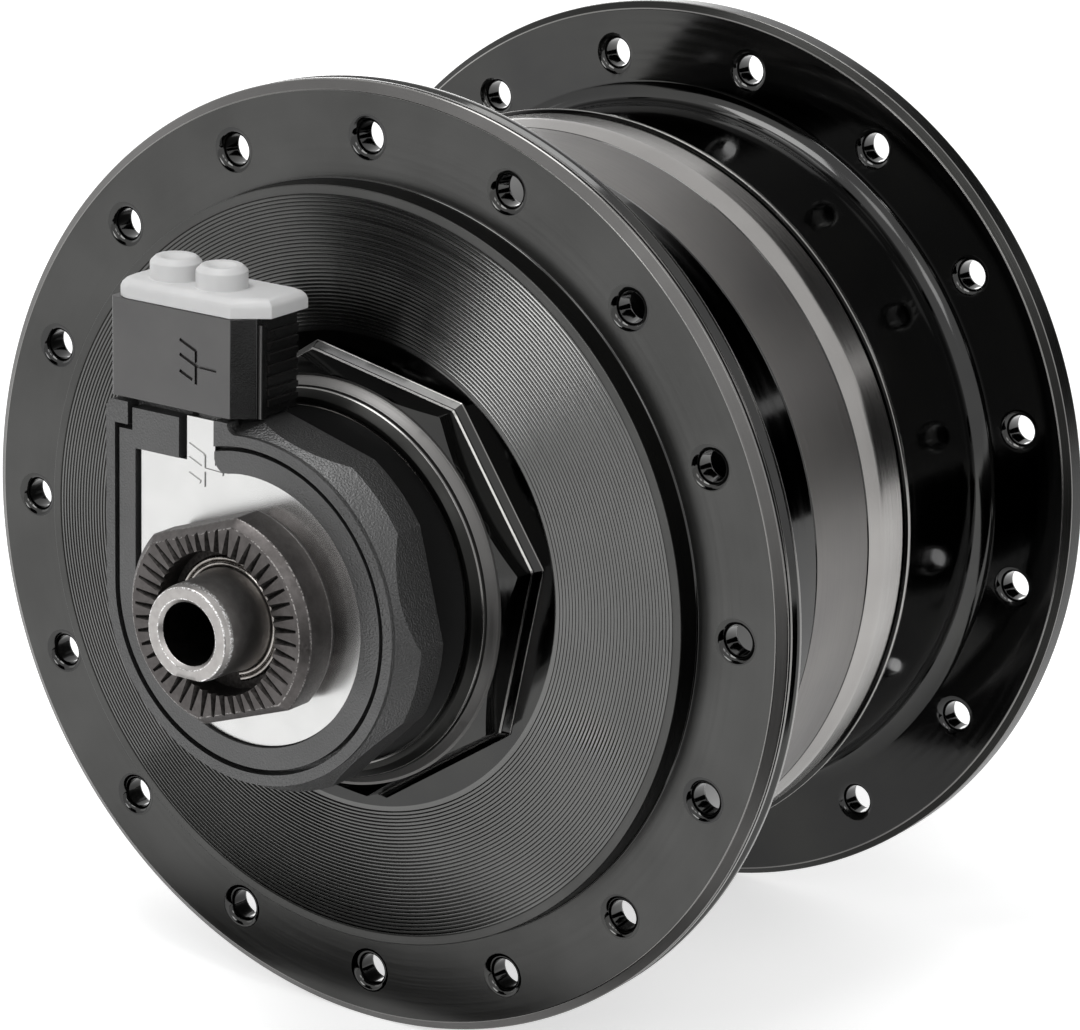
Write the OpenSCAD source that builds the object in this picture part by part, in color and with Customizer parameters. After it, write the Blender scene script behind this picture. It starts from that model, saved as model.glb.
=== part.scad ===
// Hub dynamo for a bicycle front wheel: a fixed axle carries the stator, the connector and
// its plug, and the shell with its two spoke flanges turns round them on two ball races.
// The axle lies along Y with the connector at the -Y end, +Z is up, and the origin is on the
// axis midway between the flanges. Angles count from +Z towards +X, seen from the connector.

/* [Axle] */
// Distance over the two locknuts, the width of the fork
over_locknut = 100; // [99:0.5:104]
// Length of each axle end past its locknut
axle_end_l = 4; // [3:0.5:6]
// Diameter of the axle ends
axle_end_d = 9; // [8.6:0.1:9.4]
// Diameter of the axle's threads, under the locknuts and the far cone
axle_thread_d = 9.5; // [9.4:0.1:9.8]
// Diameter of the axle under the connector and the near cone
axle_seat_d = 12; // [11.6:0.1:12.6]
// Diameter of the axle inside the stator
axle_core_d = 14; // [13.4:0.1:15]
// Bore for the quick-release skewer
skewer_bore_d = 5.8; // [5.1:0.1:5.9]
// Length of the chamfer on each axle end
axle_chamfer_l = 0.8; // [0.3:0.1:1.2]
// Depth of the flat on the underside of each axle end
axle_flat_depth = 0.5; // [0.3:0.1:0.8]

/* [Flanges] */
// Outer diameter of both spoke flanges
flange_d = 90; // [89:0.5:94]
// Distance over the outer faces of the flanges
flange_span = 54.6; // [52:0.2:58]
// Thickness of each flange
flange_t = 3; // [2.4:0.1:3.6]
// Distance from a flange's rim to the middle of its spoke holes
spoke_edge = 5; // [4:0.1:5.4]
// Number of spoke holes in each flange
spoke_holes = 16; // [12:2:18]
// Diameter of a spoke hole
spoke_hole_d = 2.8; // [2.4:0.1:3]
// Rim diameter of the countersink of a spoke hole
spoke_sink_d = 4.3; // [3.8:0.1:4.6]
// Depth of the countersink of a spoke hole
spoke_sink_depth = 0.6; // [0.3:0.1:0.8]
// Angle of the first spoke hole of the near flange
spoke_phase = -1.1; // [-5:0.1:5]
// Chamfer round a flange rim, measured across the face
rim_chamfer = 0.9; // [0.5:0.1:1.2]

/* [Shell] */
// Diameter of the barrel beside the far flange
barrel_d = 70.4; // [70:0.1:71]
// Diameter of the barrel beside the near flange
shoulder_d = 72.4; // [72.1:0.1:73]
// Inside diameter of the shell
shell_bore_d = 66; // [65:0.2:67]
// Fillet between the barrel and a flange
flange_fillet = 2; // [1:0.1:2.2]
// Place of the joint between the near flange and the barrel
shell_joint_y = -7.3; // [-9:0.1:-5]
// Outer diameter of the plain grey sleeve
sleeve_d = 72; // [71.6:0.1:72.2]
// Width of the plain grey sleeve
sleeve_w = 9.2; // [6:0.1:11]
// Wall of the plain grey sleeve
sleeve_wall = 1.3; // [1:0.1:1.6]
// Largest diameter of the bead on the barrel
bead_d = 73.8; // [73.2:0.1:74.6]
// Thickness of the wall that closes the shell at each end
web_t = 3.2; // [2.6:0.1:4]

/* [Raised disc] */
// Diameter of the raised disc on the near flange, at its foot
disc_d = 72; // [70:0.2:73]
// Height of the raised disc
disc_h = 2.4; // [1.6:0.1:3]
// Distance from one turned groove on the raised disc to the next
groove_pitch = 0.5; // [0.4:0.05:0.8]
// Depth of a turned groove
groove_depth = 0.1; // [0.05:0.01:0.15]
// Diameter where the turned grooves begin
groove_start_d = 45.4; // [44:0.2:50]

/* [Bearing cap] */
// Width across the flats of the cap's octagonal foot
cap_foot_af = 40; // [39:0.1:42]
// Width across the flats of the cap's octagonal wall, above its foot
cap_wall_af = 38.9; // [38.6:0.1:39.6]
// Width across the flats of the cap's octagonal wall, at its top
cap_top_af = 38; // [37.8:0.1:38.4]
// Height of the chamfered octagonal foot
cap_foot_h = 0.7; // [0.4:0.1:1]
// Height of the whole octagon
cap_oct_h = 3.8; // [3:0.1:5]
// Diameter of the round collar at its top
collar_d = 36.7; // [36:0.1:37.4]
// Diameter of the octagon's front edge, where a conical chamfer takes its corners off
cap_front_d = 38.6; // [38.4:0.1:40]
// Height of the round collar
collar_h = 2; // [1:0.1:3]
// Bore of the round collar
collar_bore_d = 33.4; // [32.8:0.1:33.8]
// Diameter of the part of the cap that screws into the near flange
cap_thread_d = 35.6; // [35.2:0.1:36.4]

/* [Bearings] */
// Diameter of a bearing ball
ball_d = 4.76; // [4.5:0.01:5]
// Number of balls in the near race
near_balls_n = 13; // [10:1:14]
// Number of balls in the far race
far_balls_n = 9; // [7:1:9]
// Diameter of the circle through the ball centres, near race
near_pitch_d = 25.2; // [25:0.1:25.6]
// Diameter of the circle through the ball centres, far race
far_pitch_d = 17.6; // [17.4:0.1:18.2]
// Outer diameter of the near cup
near_cup_d = 32.4; // [32:0.1:32.6]
// Outer diameter of the far cup
far_cup_d = 24.4; // [24:0.1:25]
// Diameter of the neck of the near cone
near_neck_d = 20; // [19:0.1:20.6]
// Diameter of the neck of the far cone
far_neck_d = 14; // [13.2:0.1:14.2]

/* [Generator] */
// Length of the stator
stator_w = 25; // [22:0.5:28]
// Thickness of a yoke's disc
yoke_t = 2.5; // [2:0.1:3]
// Number of claws on each yoke
claws = 14; // [12:1:14]
// Width of a claw
claw_w = 4.2; // [3.6:0.1:4.6]
// Thickness of a claw
claw_t = 1.8; // [1.4:0.1:2]
// Gap between the magnets and the claws
air_gap = 0.4; // [0.35:0.05:0.6]
// Thickness of the steel ring behind the magnets
flux_t = 2; // [1.6:0.1:2.2]
// Length of the steel ring behind the magnets
flux_w = 28; // [24:0.5:32]
// Thickness of a magnet
magnet_t = 2.8; // [2.2:0.1:3]
// Number of magnet arcs
magnets_n = 8; // [4:2:10]
// Gap between two magnet arcs
magnet_gap = 0.8; // [0.5:0.1:1.5]
// Diameter of the stator's steel core
core_d = 24.8; // [23:0.1:26]
// Wall of the bobbin
bobbin_wall = 1; // [0.8:0.1:1.4]
// Diameter of the coil's winding
coil_d = 48; // [42:0.2:49]
// Diameter of the insulated lead from the coil
lead_d = 1.5; // [1.2:0.1:1.6]

/* [Locknuts] */
// Diameter of a locknut
nut_d = 20.2; // [19:0.1:21]
// Thickness of a locknut
nut_t = 5; // [4:0.1:6]
// Width across a locknut's two flats
nut_af = 17.6; // [16:0.1:18]
// Chamfer round a locknut's face, measured across the face
nut_chamfer = 0.7; // [0.4:0.1:0.9]
// Length of the chamfer round a locknut's back
nut_back_l = 1.2; // [0.6:0.1:1.6]
// Number of serrations on a locknut's face
serrations = 44; // [36:1:48]
// Depth of a serration
serration_depth = 0.45; // [0.3:0.05:0.6]
// Diameter of the recess in a locknut's face
nut_recess_d = 13.2; // [12:0.1:14]
// Depth of the recess in a locknut's face
nut_recess_depth = 2.4; // [1.8:0.1:3]
// Diameter of the snap ring's wire
ring_wire_d = 0.8; // [0.6:0.05:1]
// Length of the spacer behind the far locknut
spacer_l = 3.5; // [2:0.1:4.5]
// Diameter of the spacer behind the far locknut
spacer_d = 17; // [15:0.1:19]

/* [Connector] */
// Diameter of the connector's round front
conn_d = 32.2; // [31.6:0.1:33]
// Height of the connector's top edge above the axis
conn_top = 17; // [16.6:0.1:18]
// Place of the right end of the connector's flat top
conn_top_end_x = -2.3; // [-2.6:0.1:-1.6]
// Thickness of the connector from front to back
conn_t = 6; // [5.6:0.1:7]
// Width across the six flats on the connector's flank
conn_af = 33; // [32.4:0.1:33.6]
// Diameter over the corners of the connector's flank
conn_corner_d = 34.7; // [34.2:0.1:35.4]
// Wall of the rim round the connector's front
conn_rim = 1; // [0.6:0.05:1.1]
// Parting gap between the rim and the inner cover
parting_gap = 0.45; // [0.35:0.05:0.6]
// Thickness of the inner cover
cover_t = 1.4; // [1.2:0.1:1.8]
// Diameter of the round window that shows the earth plate
window_d = 25.2; // [24:0.1:25.4]
// Thickness of the earth plate
plate_t = 1; // [0.8:0.1:1.2]
// How far the connector's front stands before the earth plate
plate_recess = 0.5; // [0.3:0.1:0.8]
// Width of the terminals that reach into the plug
terminal_w = 3.2; // [2.6:0.1:3.4]
// Thickness of the terminals
terminal_t = 0.8; // [0.6:0.1:1]
// Height of the terminals above the connector's top edge
terminal_h = 7.2; // [5:0.1:7.6]

/* [Plug] */
// Width of the plug
plug_w = 15.4; // [15:0.1:16]
// Depth of the plug from front to back
plug_l = 7.7; // [7.2:0.1:9]
// Height of the plug
plug_h = 9.1; // [8.7:0.1:11]
// Place of the plug's flank on the right
plug_right_x = -0.2; // [-0.6:0.1:0.4]
// Gap between the plug and the connector's top edge
plug_gap = 0.4; // [0.3:0.05:0.6]
// Chamfer on the plug's front right corner, across the front
plug_chamfer = 1.8; // [1:0.1:2.4]
// Number of grip ribs on each flank of the plug
grip_ribs = 7; // [5:1:8]
// Height of a grip rib
grip_rib_h = 0.35; // [0.2:0.05:0.5]
// Thickness of the grey cap's lid
lid_t = 1.8; // [1.6:0.1:2.4]
// How far the lid stands out over the plug's right flank
lid_overhang = 1; // [0.6:0.1:1.4]
// Corner radius at the left end of the grey cap's lid
lid_corner_r = 1.8; // [1:0.1:2.4]
// Diameter of the two wire bosses on the grey cap
boss_d = 4.7; // [4:0.1:5]
// Height of the wire bosses
boss_h = 2; // [1.2:0.1:3]
// Diameter of the passage for one wire
wire_hole_d = 2.4; // [1.8:0.1:2.8]

/* [Hidden] */
$fn = 96;
press_gap = 0.02;
turn_gap = 0.3;
ball_gap = 0.06;
eps = 0.01;

axle_r = axle_end_d / 2;
thread_r = axle_thread_d / 2;
seat_r = axle_seat_d / 2;
axle_core_r = axle_core_d / 2;
bore_r = skewer_bore_d / 2;
half_w = over_locknut / 2;
tip_y = half_w + axle_end_l;
tip_chamfer = 0.2;
bore_chamfer = 0.35;

flange_r = flange_d / 2;
flange_out = flange_span / 2;
flange_in = flange_out - flange_t;
spoke_step = 360 / spoke_holes;
spoke_circle_r = flange_r - spoke_edge;
rim_round = 0.8;
rim_back = 0.2;
rim_grooves = 3;
rim_groove_pitch = 0.45;
rim_groove_depth = 0.12;

barrel_r = barrel_d / 2;
shoulder_r = shoulder_d / 2;
shell_r = shell_bore_d / 2;
sleeve_r = sleeve_d / 2;
sleeve_seat_r = sleeve_r - sleeve_wall - press_gap;
sleeve_y = shell_joint_y + 0.1;
sleeve_end_y = sleeve_y + sleeve_w;
bead_r = bead_d / 2;
band_w = 2.1;
band_rise = 0.5;
plateau_w = 3.4;
bead_groove_w = 0.3;
bead_groove_depth = 0.3;
bead_w = 0.7;

disc_y = -(flange_out + disc_h);
disc_r = disc_d / 2;
disc_draft = 0.8;
near_web_y = disc_y + web_t;
cap_thread_r = cap_thread_d / 2;
groove_n = floor((disc_r - disc_draft - 0.3 - groove_start_d / 2) / groove_pitch);

oct_turn = 11.25;
cap_top_y = disc_y - cap_oct_h;
collar_y = cap_top_y - collar_h;
collar_draft = 0.4;
cap_chamfer_slope = 0.7;
cap_corner_r = (cap_foot_af / 2 + 1) / cos(22.5);
collar_r = collar_d / 2;
collar_bore_r = collar_bore_d / 2;
cap_in_y = near_web_y + 1.5;

ball_r = ball_d / 2;
track_r = ball_r + ball_gap;
near_pitch_r = near_pitch_d / 2;
far_pitch_r = far_pitch_d / 2;
near_cup_r = near_cup_d / 2;
far_cup_r = far_cup_d / 2;
cup_back = 1.1;
cup_mouth = 0.6;
near_ball_y = disc_y + 1.4;
cup_seat_y = near_ball_y - track_r - cup_mouth;
cup_in_y = near_ball_y + track_r + cup_back;
seal_y = collar_y + 1.2;
near_neck_r = near_neck_d / 2;
far_neck_r = far_neck_d / 2;
cone_in_reach = 3.4;
cage_w = 1;
cage_t = 0.7;

far_web_y = flange_in - 0.3;
far_disc_y = flange_out + 1.4;
far_disc_r = 30;
far_ball_y = flange_out + 3.9;
far_cup_in_y = far_ball_y - track_r - cup_back;
far_cup_out_y = far_ball_y + track_r + cup_mouth;
far_boss_r = far_cup_r + 3.3;
far_boss_y = far_cup_out_y + 2.6;
dust_r = far_cup_r + 1;
dust_t = 1.8;
far_cone_y = half_w - nut_t - spacer_l;
thread_y = far_ball_y - cone_in_reach - ball_r;
far_cone_flat_l = 2.6;
far_cone_af = 13;

stator_y = stator_w / 2;
magnet_r = shell_r - press_gap - flux_t - press_gap;
magnet_in_r = magnet_r - magnet_t;
claw_r = magnet_in_r - air_gap;
claw_in_r = claw_r - claw_t;
claw_space = 2 * PI * claw_r / claws - claw_w;
claw_root = 0.4;
claw_step = 360 / claws;
yoke_in_y = stator_y - yoke_t;
claw_end_gap = 0.8;
core_r = core_d / 2;
bobbin_r = core_r + press_gap + bobbin_wall;
bobbin_flange_r = claw_in_r - 0.4;
coil_y = yoke_in_y - press_gap - bobbin_wall - press_gap;

lead_angle = -45;
lead_r = lead_d / 2;
lead_play = 0.15;
lead_track_r = seat_r - lead_r - lead_play;
lead_slot_y = -stator_y - 2.1;
lead_coil_r = 18;

nut_r = nut_d / 2;
nut_in_y = half_w - nut_t;
nut_turn = -19.3;
nut_chamfer_l = 0.8;
nut_back_chamfer = 0.6;
ring_wire_r = ring_wire_d / 2;
ring_y = half_w - nut_recess_depth + ring_wire_r + press_gap;
ring_r = thread_r + ring_wire_r + 0.05;
ring_gap_angle = 30;

conn_r = conn_d / 2;
plate_y = -nut_in_y;
conn_y = plate_y - plate_recess;
conn_back_y = conn_y + conn_t;
cover_y = conn_y + 0.1;
floor_y = plate_y + plate_t;
hub_out_y = conn_back_y - 1;
conn_hex_turn = 44.8;
flank_y = conn_y + 0.5;
flank_full_y = conn_y + 2.7;
conn_neck_r = 14;

tab_x = -5.6;
tab_side_gap = 0.6;
signal_x = -10.8;
terminal_y = floor_y + 0.8;
terminal_top = conn_top + terminal_h;
lead_end_y = terminal_y + terminal_t + lead_r + press_gap;
terminal_foot_z = signal_x / tan(lead_angle) - lead_r - lead_play - 0.5;
slot_play = 0.2;
top_fillet = 0.9;
corner_x = -13.6;
corner_z = conn_top - 2.1;
block_x = tab_x - terminal_w / 2 - tab_side_gap;
block_z = 12.8;
cover_top = conn_top - 0.45;
window_r = window_d / 2;
window_x = -12.8;
plate_side_gap = 0.35;
plate_play = 0.1;
cover_hex_gap = 0.3;

plug_left_x = plug_right_x - plug_w;
plug_z = conn_top + plug_gap;
plug_top = plug_z + plug_h;
plug_back_y = conn_y + plug_l;
boss_y = conn_y + 3.4;
plug_play = 0.3;
lid_top = plug_top + lid_t;
lid_side_gap = 0.25;
lid_back_lip = 0.3;
lid_slices = [[0.55, 0.12], [0.25, 0.4], [0, 0.9]];
boss_top = lid_top + boss_h;
boss_round = 0.5;
mark_depth = 0.25;
mark_w = 0.3;
strip_l = 1.4;
chamfer_slope = 0.83;
grip_z0 = plug_z + 0.9;
grip_pitch = (plug_h - 1.8) / grip_ribs;

steel_c = [0.42, 0.40, 0.39];
dark_steel_c = [0.30, 0.28, 0.27];
black_c = [0.06, 0.06, 0.065];
turned_c = [0.25, 0.25, 0.25];
sleeve_c = [0.36, 0.36, 0.36];
plastic_c = [0.20, 0.20, 0.20];
cap_c = [0.84, 0.84, 0.84];
plate_c = [0.89, 0.89, 0.88];
copper_c = [0.72, 0.42, 0.20];
magnet_c = [0.20, 0.21, 0.24];
rubber_c = [0.08, 0.08, 0.08];

// A solid of revolution about Y; points are [radius, y]
module turned(points) {
    rotate([-90, 0, 0]) rotate_extrude() polygon(points);
}

// A round rod along Y, or a cone when it has a second radius
module rod(y0, y1, r0, r1 = undef) {
    translate([0, y0, 0]) rotate([-90, 0, 0])
        cylinder(h = y1 - y0, r1 = r0, r2 = is_undef(r1) ? r0 : r1);
}

// Flat shape drawn in X and Z, made solid from y0 to y1
module slab(y0, y1) {
    translate([0, y1, 0]) rotate([90, 0, 0]) linear_extrude(height = y1 - y0) children();
}

// Axis-aligned box between two corners
module block(a, b) {
    translate(a) cube(b - a);
}

// Flat rectangle between two corners
module pane(a, b) {
    translate(a) square(b - a);
}

// Places its children n times round the Y axis, at a radius
module round_y(n, r, phase = 0) {
    for (i = [0 : n - 1])
        rotate([0, phase + i * 360 / n, 0]) translate([0, 0, r]) children();
}

// A flat stroke of a given width between two points
module stroke(p, q, w) {
    d = q - p;
    translate(p) rotate(atan2(d[1], d[0])) translate([0, -w / 2]) square([norm(d), w]);
}

// Points of a concave quarter fillet between a barrel and a flange face
function fillet_points(r, y, f, side) =
    [for (a = [0 : 15 : 90]) [r + f - f * cos(a), y + side * (f - f * sin(a))]];

// Fine turned grooves across a face at y, from radius r0 outwards
function groove_points(r0, n, y) =
    [for (i = [0 : n - 1]) for (p = [[0, 0], [groove_pitch / 2, groove_depth]])
        [r0 + i * groove_pitch + p[0], y + p[1]]];

// Small turned grooves in a rim of radius r, from y0 on
function rim_points(r, y0, side) =
    [for (i = [0 : rim_grooves - 1]) for (p = [[0, 0], [0.12, 1], [0.24, 0]])
        [r - p[1] * rim_groove_depth, y0 + side * (i * rim_groove_pitch + p[0])]];

// Spoke holes with a countersink on both faces of a flange
module spoke_cuts(y0, phase) {
    hole_r = spoke_hole_d / 2;
    sink_r = spoke_sink_d / 2;
    y1 = y0 + flange_t;
    round_y(spoke_holes, spoke_circle_r, phase) {
        rod(y0 - 1, y1 + 1, hole_r);
        rod(y0 - eps, y0 + spoke_sink_depth, sink_r, hole_r);
        rod(y1 - spoke_sink_depth, y1 + eps, hole_r, sink_r);
    }
}

// The pressed-steel cup of a ball race; side is -1 when its mouth faces -Y
module race_cup(pitch_r, cup_r, y, side) {
    rotate([-90, 0, 0]) rotate_extrude() difference() {
        pane([pitch_r - 0.6, min(y - side * (track_r + cup_back), y + side * (track_r + cup_mouth))],
             [cup_r, max(y - side * (track_r + cup_back), y + side * (track_r + cup_mouth))]);
        translate([pitch_r, y]) circle(r = track_r);
        pane([0, min(y, y + side * (track_r + cup_mouth + 1))],
             [pitch_r + track_r, max(y, y + side * (track_r + cup_mouth + 1))]);
    }
}

// Ring of balls
module ball_ring(n, pitch_r, y) {
    round_y(n, pitch_r) translate([0, y, 0]) sphere(r = ball_r);
}

// Crown-shaped retainer that spaces the balls, on the open side of the race
module ball_cage(n, pitch_r, y, side) {
    difference() {
        rotate([-90, 0, 0]) rotate_extrude()
            pane([pitch_r - cage_w, min(y, y + side * (ball_r + cage_t))],
                 [pitch_r + cage_w, max(y, y + side * (ball_r + cage_t))]);
        round_y(n, pitch_r) translate([0, y, 0])
            cylinder(h = 2 * cage_w + 2, r = ball_r + 0.1, center = true);
    }
}

module axle() {
    color(steel_c) difference() {
        turned([
            [0, -tip_y], [axle_r - tip_chamfer, -tip_y], [axle_r, -tip_y + axle_chamfer_l],
            [axle_r, -half_w], [thread_r, -half_w], [thread_r, plate_y], [seat_r, plate_y],
            [seat_r, lead_slot_y - 1], [axle_core_r, lead_slot_y - 1],
            [axle_core_r, stator_y + 2], [seat_r, stator_y + 2], [seat_r, thread_y],
            [thread_r, thread_y], [thread_r, half_w], [axle_r, half_w],
            [axle_r, tip_y - axle_chamfer_l], [axle_r - tip_chamfer, tip_y], [0, tip_y]
        ]);
        rod(-tip_y - 1, tip_y + 1, bore_r);
        rod(-tip_y - eps, -tip_y + bore_chamfer, bore_r + bore_chamfer, bore_r);
        rod(tip_y - bore_chamfer, tip_y + eps, bore_r, bore_r + bore_chamfer);
        for (s = [-1, 1])
            block([-axle_r, min(s * half_w, s * (tip_y + 1)), -axle_r - 1],
                  [axle_r, max(s * half_w, s * (tip_y + 1)), -axle_r + axle_flat_depth]);
        rotate([0, lead_angle, 0])
            block([-lead_r - lead_play, lead_end_y - lead_r - lead_play,
                   lead_track_r - lead_r - lead_play],
                  [lead_r + lead_play, lead_slot_y + lead_r + lead_play, axle_core_r + 1]);
    }
}

// Cone of a ball race; side is -1 for the near cone
module race_cone(pitch_r, bore, neck_r, y, out_y, side) {
    in_y = y - side * cone_in_reach;
    rotate([-90, 0, 0]) rotate_extrude() difference() {
        polygon([[bore, in_y], [pitch_r - ball_r * 0.95, in_y], [pitch_r - ball_r * 0.4, y],
                 [pitch_r - ball_r * 0.4, y + side * ball_r * 0.8],
                 [neck_r, y + side * (ball_r + 0.9)], [neck_r, out_y], [bore, out_y]]);
        translate([pitch_r, y]) circle(r = track_r);
    }
}

module near_cone() {
    color(steel_c)
        race_cone(near_pitch_r, seat_r + press_gap, near_neck_r, near_ball_y, hub_out_y, -1);
}

module far_cone() {
    color(steel_c) difference() {
        race_cone(far_pitch_r, thread_r + press_gap, far_neck_r, far_ball_y, far_cone_y, 1);
        for (s = [-1, 1])
            block([-far_neck_r - 1, far_cone_y - far_cone_flat_l,
                   min(s * far_cone_af / 2, s * far_neck_d)],
                  [far_neck_r + 1, far_cone_y + 1, max(s * far_cone_af / 2, s * far_neck_d)]);
    }
}

// Locknut with its serrated face at the -Y end
module locknut() {
    out_r = nut_r - nut_chamfer;
    difference() {
        turned([
            [thread_r + press_gap, -nut_in_y], [thread_r + press_gap, -half_w + nut_recess_depth],
            [nut_recess_d / 2, -half_w + nut_recess_depth], [nut_recess_d / 2, -half_w],
            [out_r, -half_w], [nut_r, -half_w + nut_chamfer_l], [nut_r, -nut_in_y - nut_back_l],
            [nut_r - nut_back_chamfer, -nut_in_y]
        ]);
        rotate([0, nut_turn, 0]) for (s = [-1, 1])
            block([-nut_r - 1, -half_w - 1, min(s * nut_af / 2, s * nut_d)],
                  [nut_r + 1, -nut_in_y + 1, max(s * nut_af / 2, s * nut_d)]);
        for (i = [0 : serrations - 1])
            rotate([0, nut_turn + (i + 0.5) * 360 / serrations, 0])
                translate([0, -half_w, nut_recess_d / 2 - 1]) linear_extrude(height = nut_r)
                    polygon([[-0.4, -eps], [0.4, -eps], [0, serration_depth]]);
    }
}

module near_locknut() {
    color(dark_steel_c) locknut();
}

module far_locknut() {
    color(dark_steel_c) rotate([0, 0, 180]) locknut();
}

module snap_ring() {
    color(steel_c) rotate([0, 180 + ring_gap_angle / 2, 0]) translate([0, -ring_y, 0])
        rotate([-90, 0, 0]) rotate([0, 0, -90])
            rotate_extrude(angle = 360 - ring_gap_angle) translate([ring_r, 0]) circle(r = ring_wire_r);
}

module far_spacer() {
    color(dark_steel_c) difference() {
        rod(far_cone_y, nut_in_y, spacer_d / 2);
        rod(far_cone_y - 1, nut_in_y + 1, thread_r + press_gap);
    }
}

module stator_core() {
    color(steel_c) difference() {
        rod(-yoke_in_y, yoke_in_y, core_r);
        rod(-yoke_in_y - 1, yoke_in_y + 1, axle_core_r + press_gap);
    }
}

// Claw-pole yoke with its disc at the -Y end and its claws towards +Y
module yoke() {
    difference() {
        turned([
            [axle_core_r + press_gap, -stator_y], [claw_r, -stator_y],
            [claw_r, yoke_in_y - claw_end_gap], [claw_in_r, yoke_in_y - claw_end_gap],
            [claw_in_r, -yoke_in_y], [axle_core_r + press_gap, -yoke_in_y]
        ]);
        for (i = [0 : claws - 1])
            rotate([0, (i + 0.5) * claw_step, 0])
                block([-claw_space / 2, claw_root - yoke_in_y, core_r],
                      [claw_space / 2, yoke_in_y, claw_r + 1]);
    }
}

module near_yoke() {
    color(steel_c) difference() {
        yoke();
        rotate([0, lead_angle, 0]) translate([0, 0, lead_coil_r])
            rod(-stator_y - 1, -yoke_in_y + 1, lead_r + lead_play);
    }
}

module far_yoke() {
    color(steel_c) rotate([0, claw_step / 2, 0]) mirror([0, 1, 0]) yoke();
}

module bobbin() {
    in_r = core_r + press_gap;
    out_y = yoke_in_y - press_gap;
    color([0.85, 0.82, 0.72]) difference() {
        turned([
            [in_r, -out_y], [bobbin_flange_r, -out_y], [bobbin_flange_r, -out_y + bobbin_wall],
            [bobbin_r, -out_y + bobbin_wall], [bobbin_r, out_y - bobbin_wall],
            [bobbin_flange_r, out_y - bobbin_wall], [bobbin_flange_r, out_y], [in_r, out_y]
        ]);
        rotate([0, lead_angle, 0]) translate([0, 0, lead_coil_r])
            rod(-out_y - 1, -out_y + bobbin_wall + 0.01, lead_r + lead_play);
    }
}

module coil() {
    color(copper_c) difference() {
        rod(-coil_y, coil_y, coil_d / 2);
        rod(-coil_y - 1, coil_y + 1, bobbin_r + press_gap);
    }
}

// Insulated lead: out of the coil, down to the axle's slot, along it and up to the terminal
module coil_lead() {
    lead_end_r = -signal_x / sin(-lead_angle) - terminal_t;
    color([0.75, 0.75, 0.72]) rotate([0, lead_angle, 0]) {
        translate([0, 0, lead_coil_r]) rod(lead_slot_y, -coil_y - press_gap, lead_r);
        translate([0, lead_slot_y, lead_track_r])
            cylinder(h = lead_coil_r - lead_track_r, r = lead_r);
        translate([0, lead_slot_y, lead_coil_r]) sphere(r = lead_r);
        translate([0, lead_slot_y, lead_track_r]) sphere(r = lead_r);
        translate([0, 0, lead_track_r]) rod(lead_end_y, lead_slot_y, lead_r);
        translate([0, lead_end_y, lead_track_r]) sphere(r = lead_r);
        translate([0, lead_end_y, lead_track_r])
            cylinder(h = lead_end_r - lead_track_r, r = lead_r);
    }
}

// Outline of the connector's front: round, with a flat top that ends in a hollow fillet
module connector_outline() {
    fillet_x = conn_top_end_x + top_fillet;
    fillet_z = sqrt(pow(conn_r + top_fillet, 2) - fillet_x * fillet_x);
    circle(r = conn_r);
    difference() {
        pane([-conn_r, 0], [conn_top_end_x, conn_top]);
        translate([-conn_r, conn_top]) rotate(45) square(0.9, center = true);
    }
    difference() {
        pane([conn_top_end_x - eps, 0], [fillet_x, min(conn_top, fillet_z)]);
        translate([fillet_x, fillet_z]) circle(r = top_fillet);
    }
}

// Outline of the pocket in the connector's front, open at the top
module pocket_outline(inset) {
    r = conn_r - conn_rim - inset;
    difference() {
        union() {
            circle(r = r);
            pane([-r, 0], [tab_x + terminal_w / 2 + slot_play - inset, conn_top + 1]);
        }
        pane([-conn_r, corner_z - inset], [corner_x + inset, conn_top + 2]);
    }
}

// Outline of the window in the inner cover that shows the earth plate
module window_outline(inset, side_inset) {
    r = window_r - inset;
    right_x = tab_x + terminal_w / 2 + slot_play - inset;
    fillet = 1.5;
    circle(r = r);
    pane([window_x + side_inset, 0], [right_x, block_z - inset]);
    difference() {
        pane([right_x - eps, 11], [right_x + fillet, block_z + 0.6]);
        translate([right_x + fillet, block_z + 0.6 + 0.3]) circle(r = fillet);
    }
}

module connector_base() {
    color(plastic_c) difference() {
        union() {
            slab(conn_y, conn_y + 1.6) connector_outline();
            intersection() {
                turned([[0, flank_y], [conn_r, flank_y], [conn_corner_d / 2, flank_full_y],
                        [conn_corner_d / 2, conn_back_y], [0, conn_back_y]]);
                slab(conn_y, conn_back_y + 1) rotate(conn_hex_turn)
                    circle(d = conn_af / cos(30), $fn = 6);
            }
            slab(conn_y, conn_back_y)
                pane([-conn_r + 0.3, 6], [conn_top_end_x - 0.3, conn_top - 0.2]);
            rod(conn_back_y - eps, hub_out_y + 2.8, conn_neck_r);
        }
        slab(conn_y - 1, floor_y) pocket_outline(0);
        rod(conn_y - 1, conn_back_y + 4, seat_r + press_gap);
        rod(hub_out_y, conn_back_y + 4, near_neck_r + press_gap);
        for (x = [tab_x, signal_x])
            block([x - terminal_w / 2 - slot_play, terminal_y - slot_play, 9],
                  [x + terminal_w / 2 + slot_play, terminal_y + terminal_t + slot_play, conn_top + 1]);
        block([tab_x - terminal_w / 2 - slot_play, floor_y - 1, conn_top - 1.9],
              [tab_x + terminal_w / 2 + slot_play, terminal_y, conn_top + 1]);
        rotate([0, lead_angle, 0])
            block([-lead_r - lead_play, lead_end_y - lead_r - lead_play, 0],
                  [lead_r + lead_play, lead_end_y + lead_r + lead_play,
                   -signal_x / sin(-lead_angle)]);
    }
}

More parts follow.
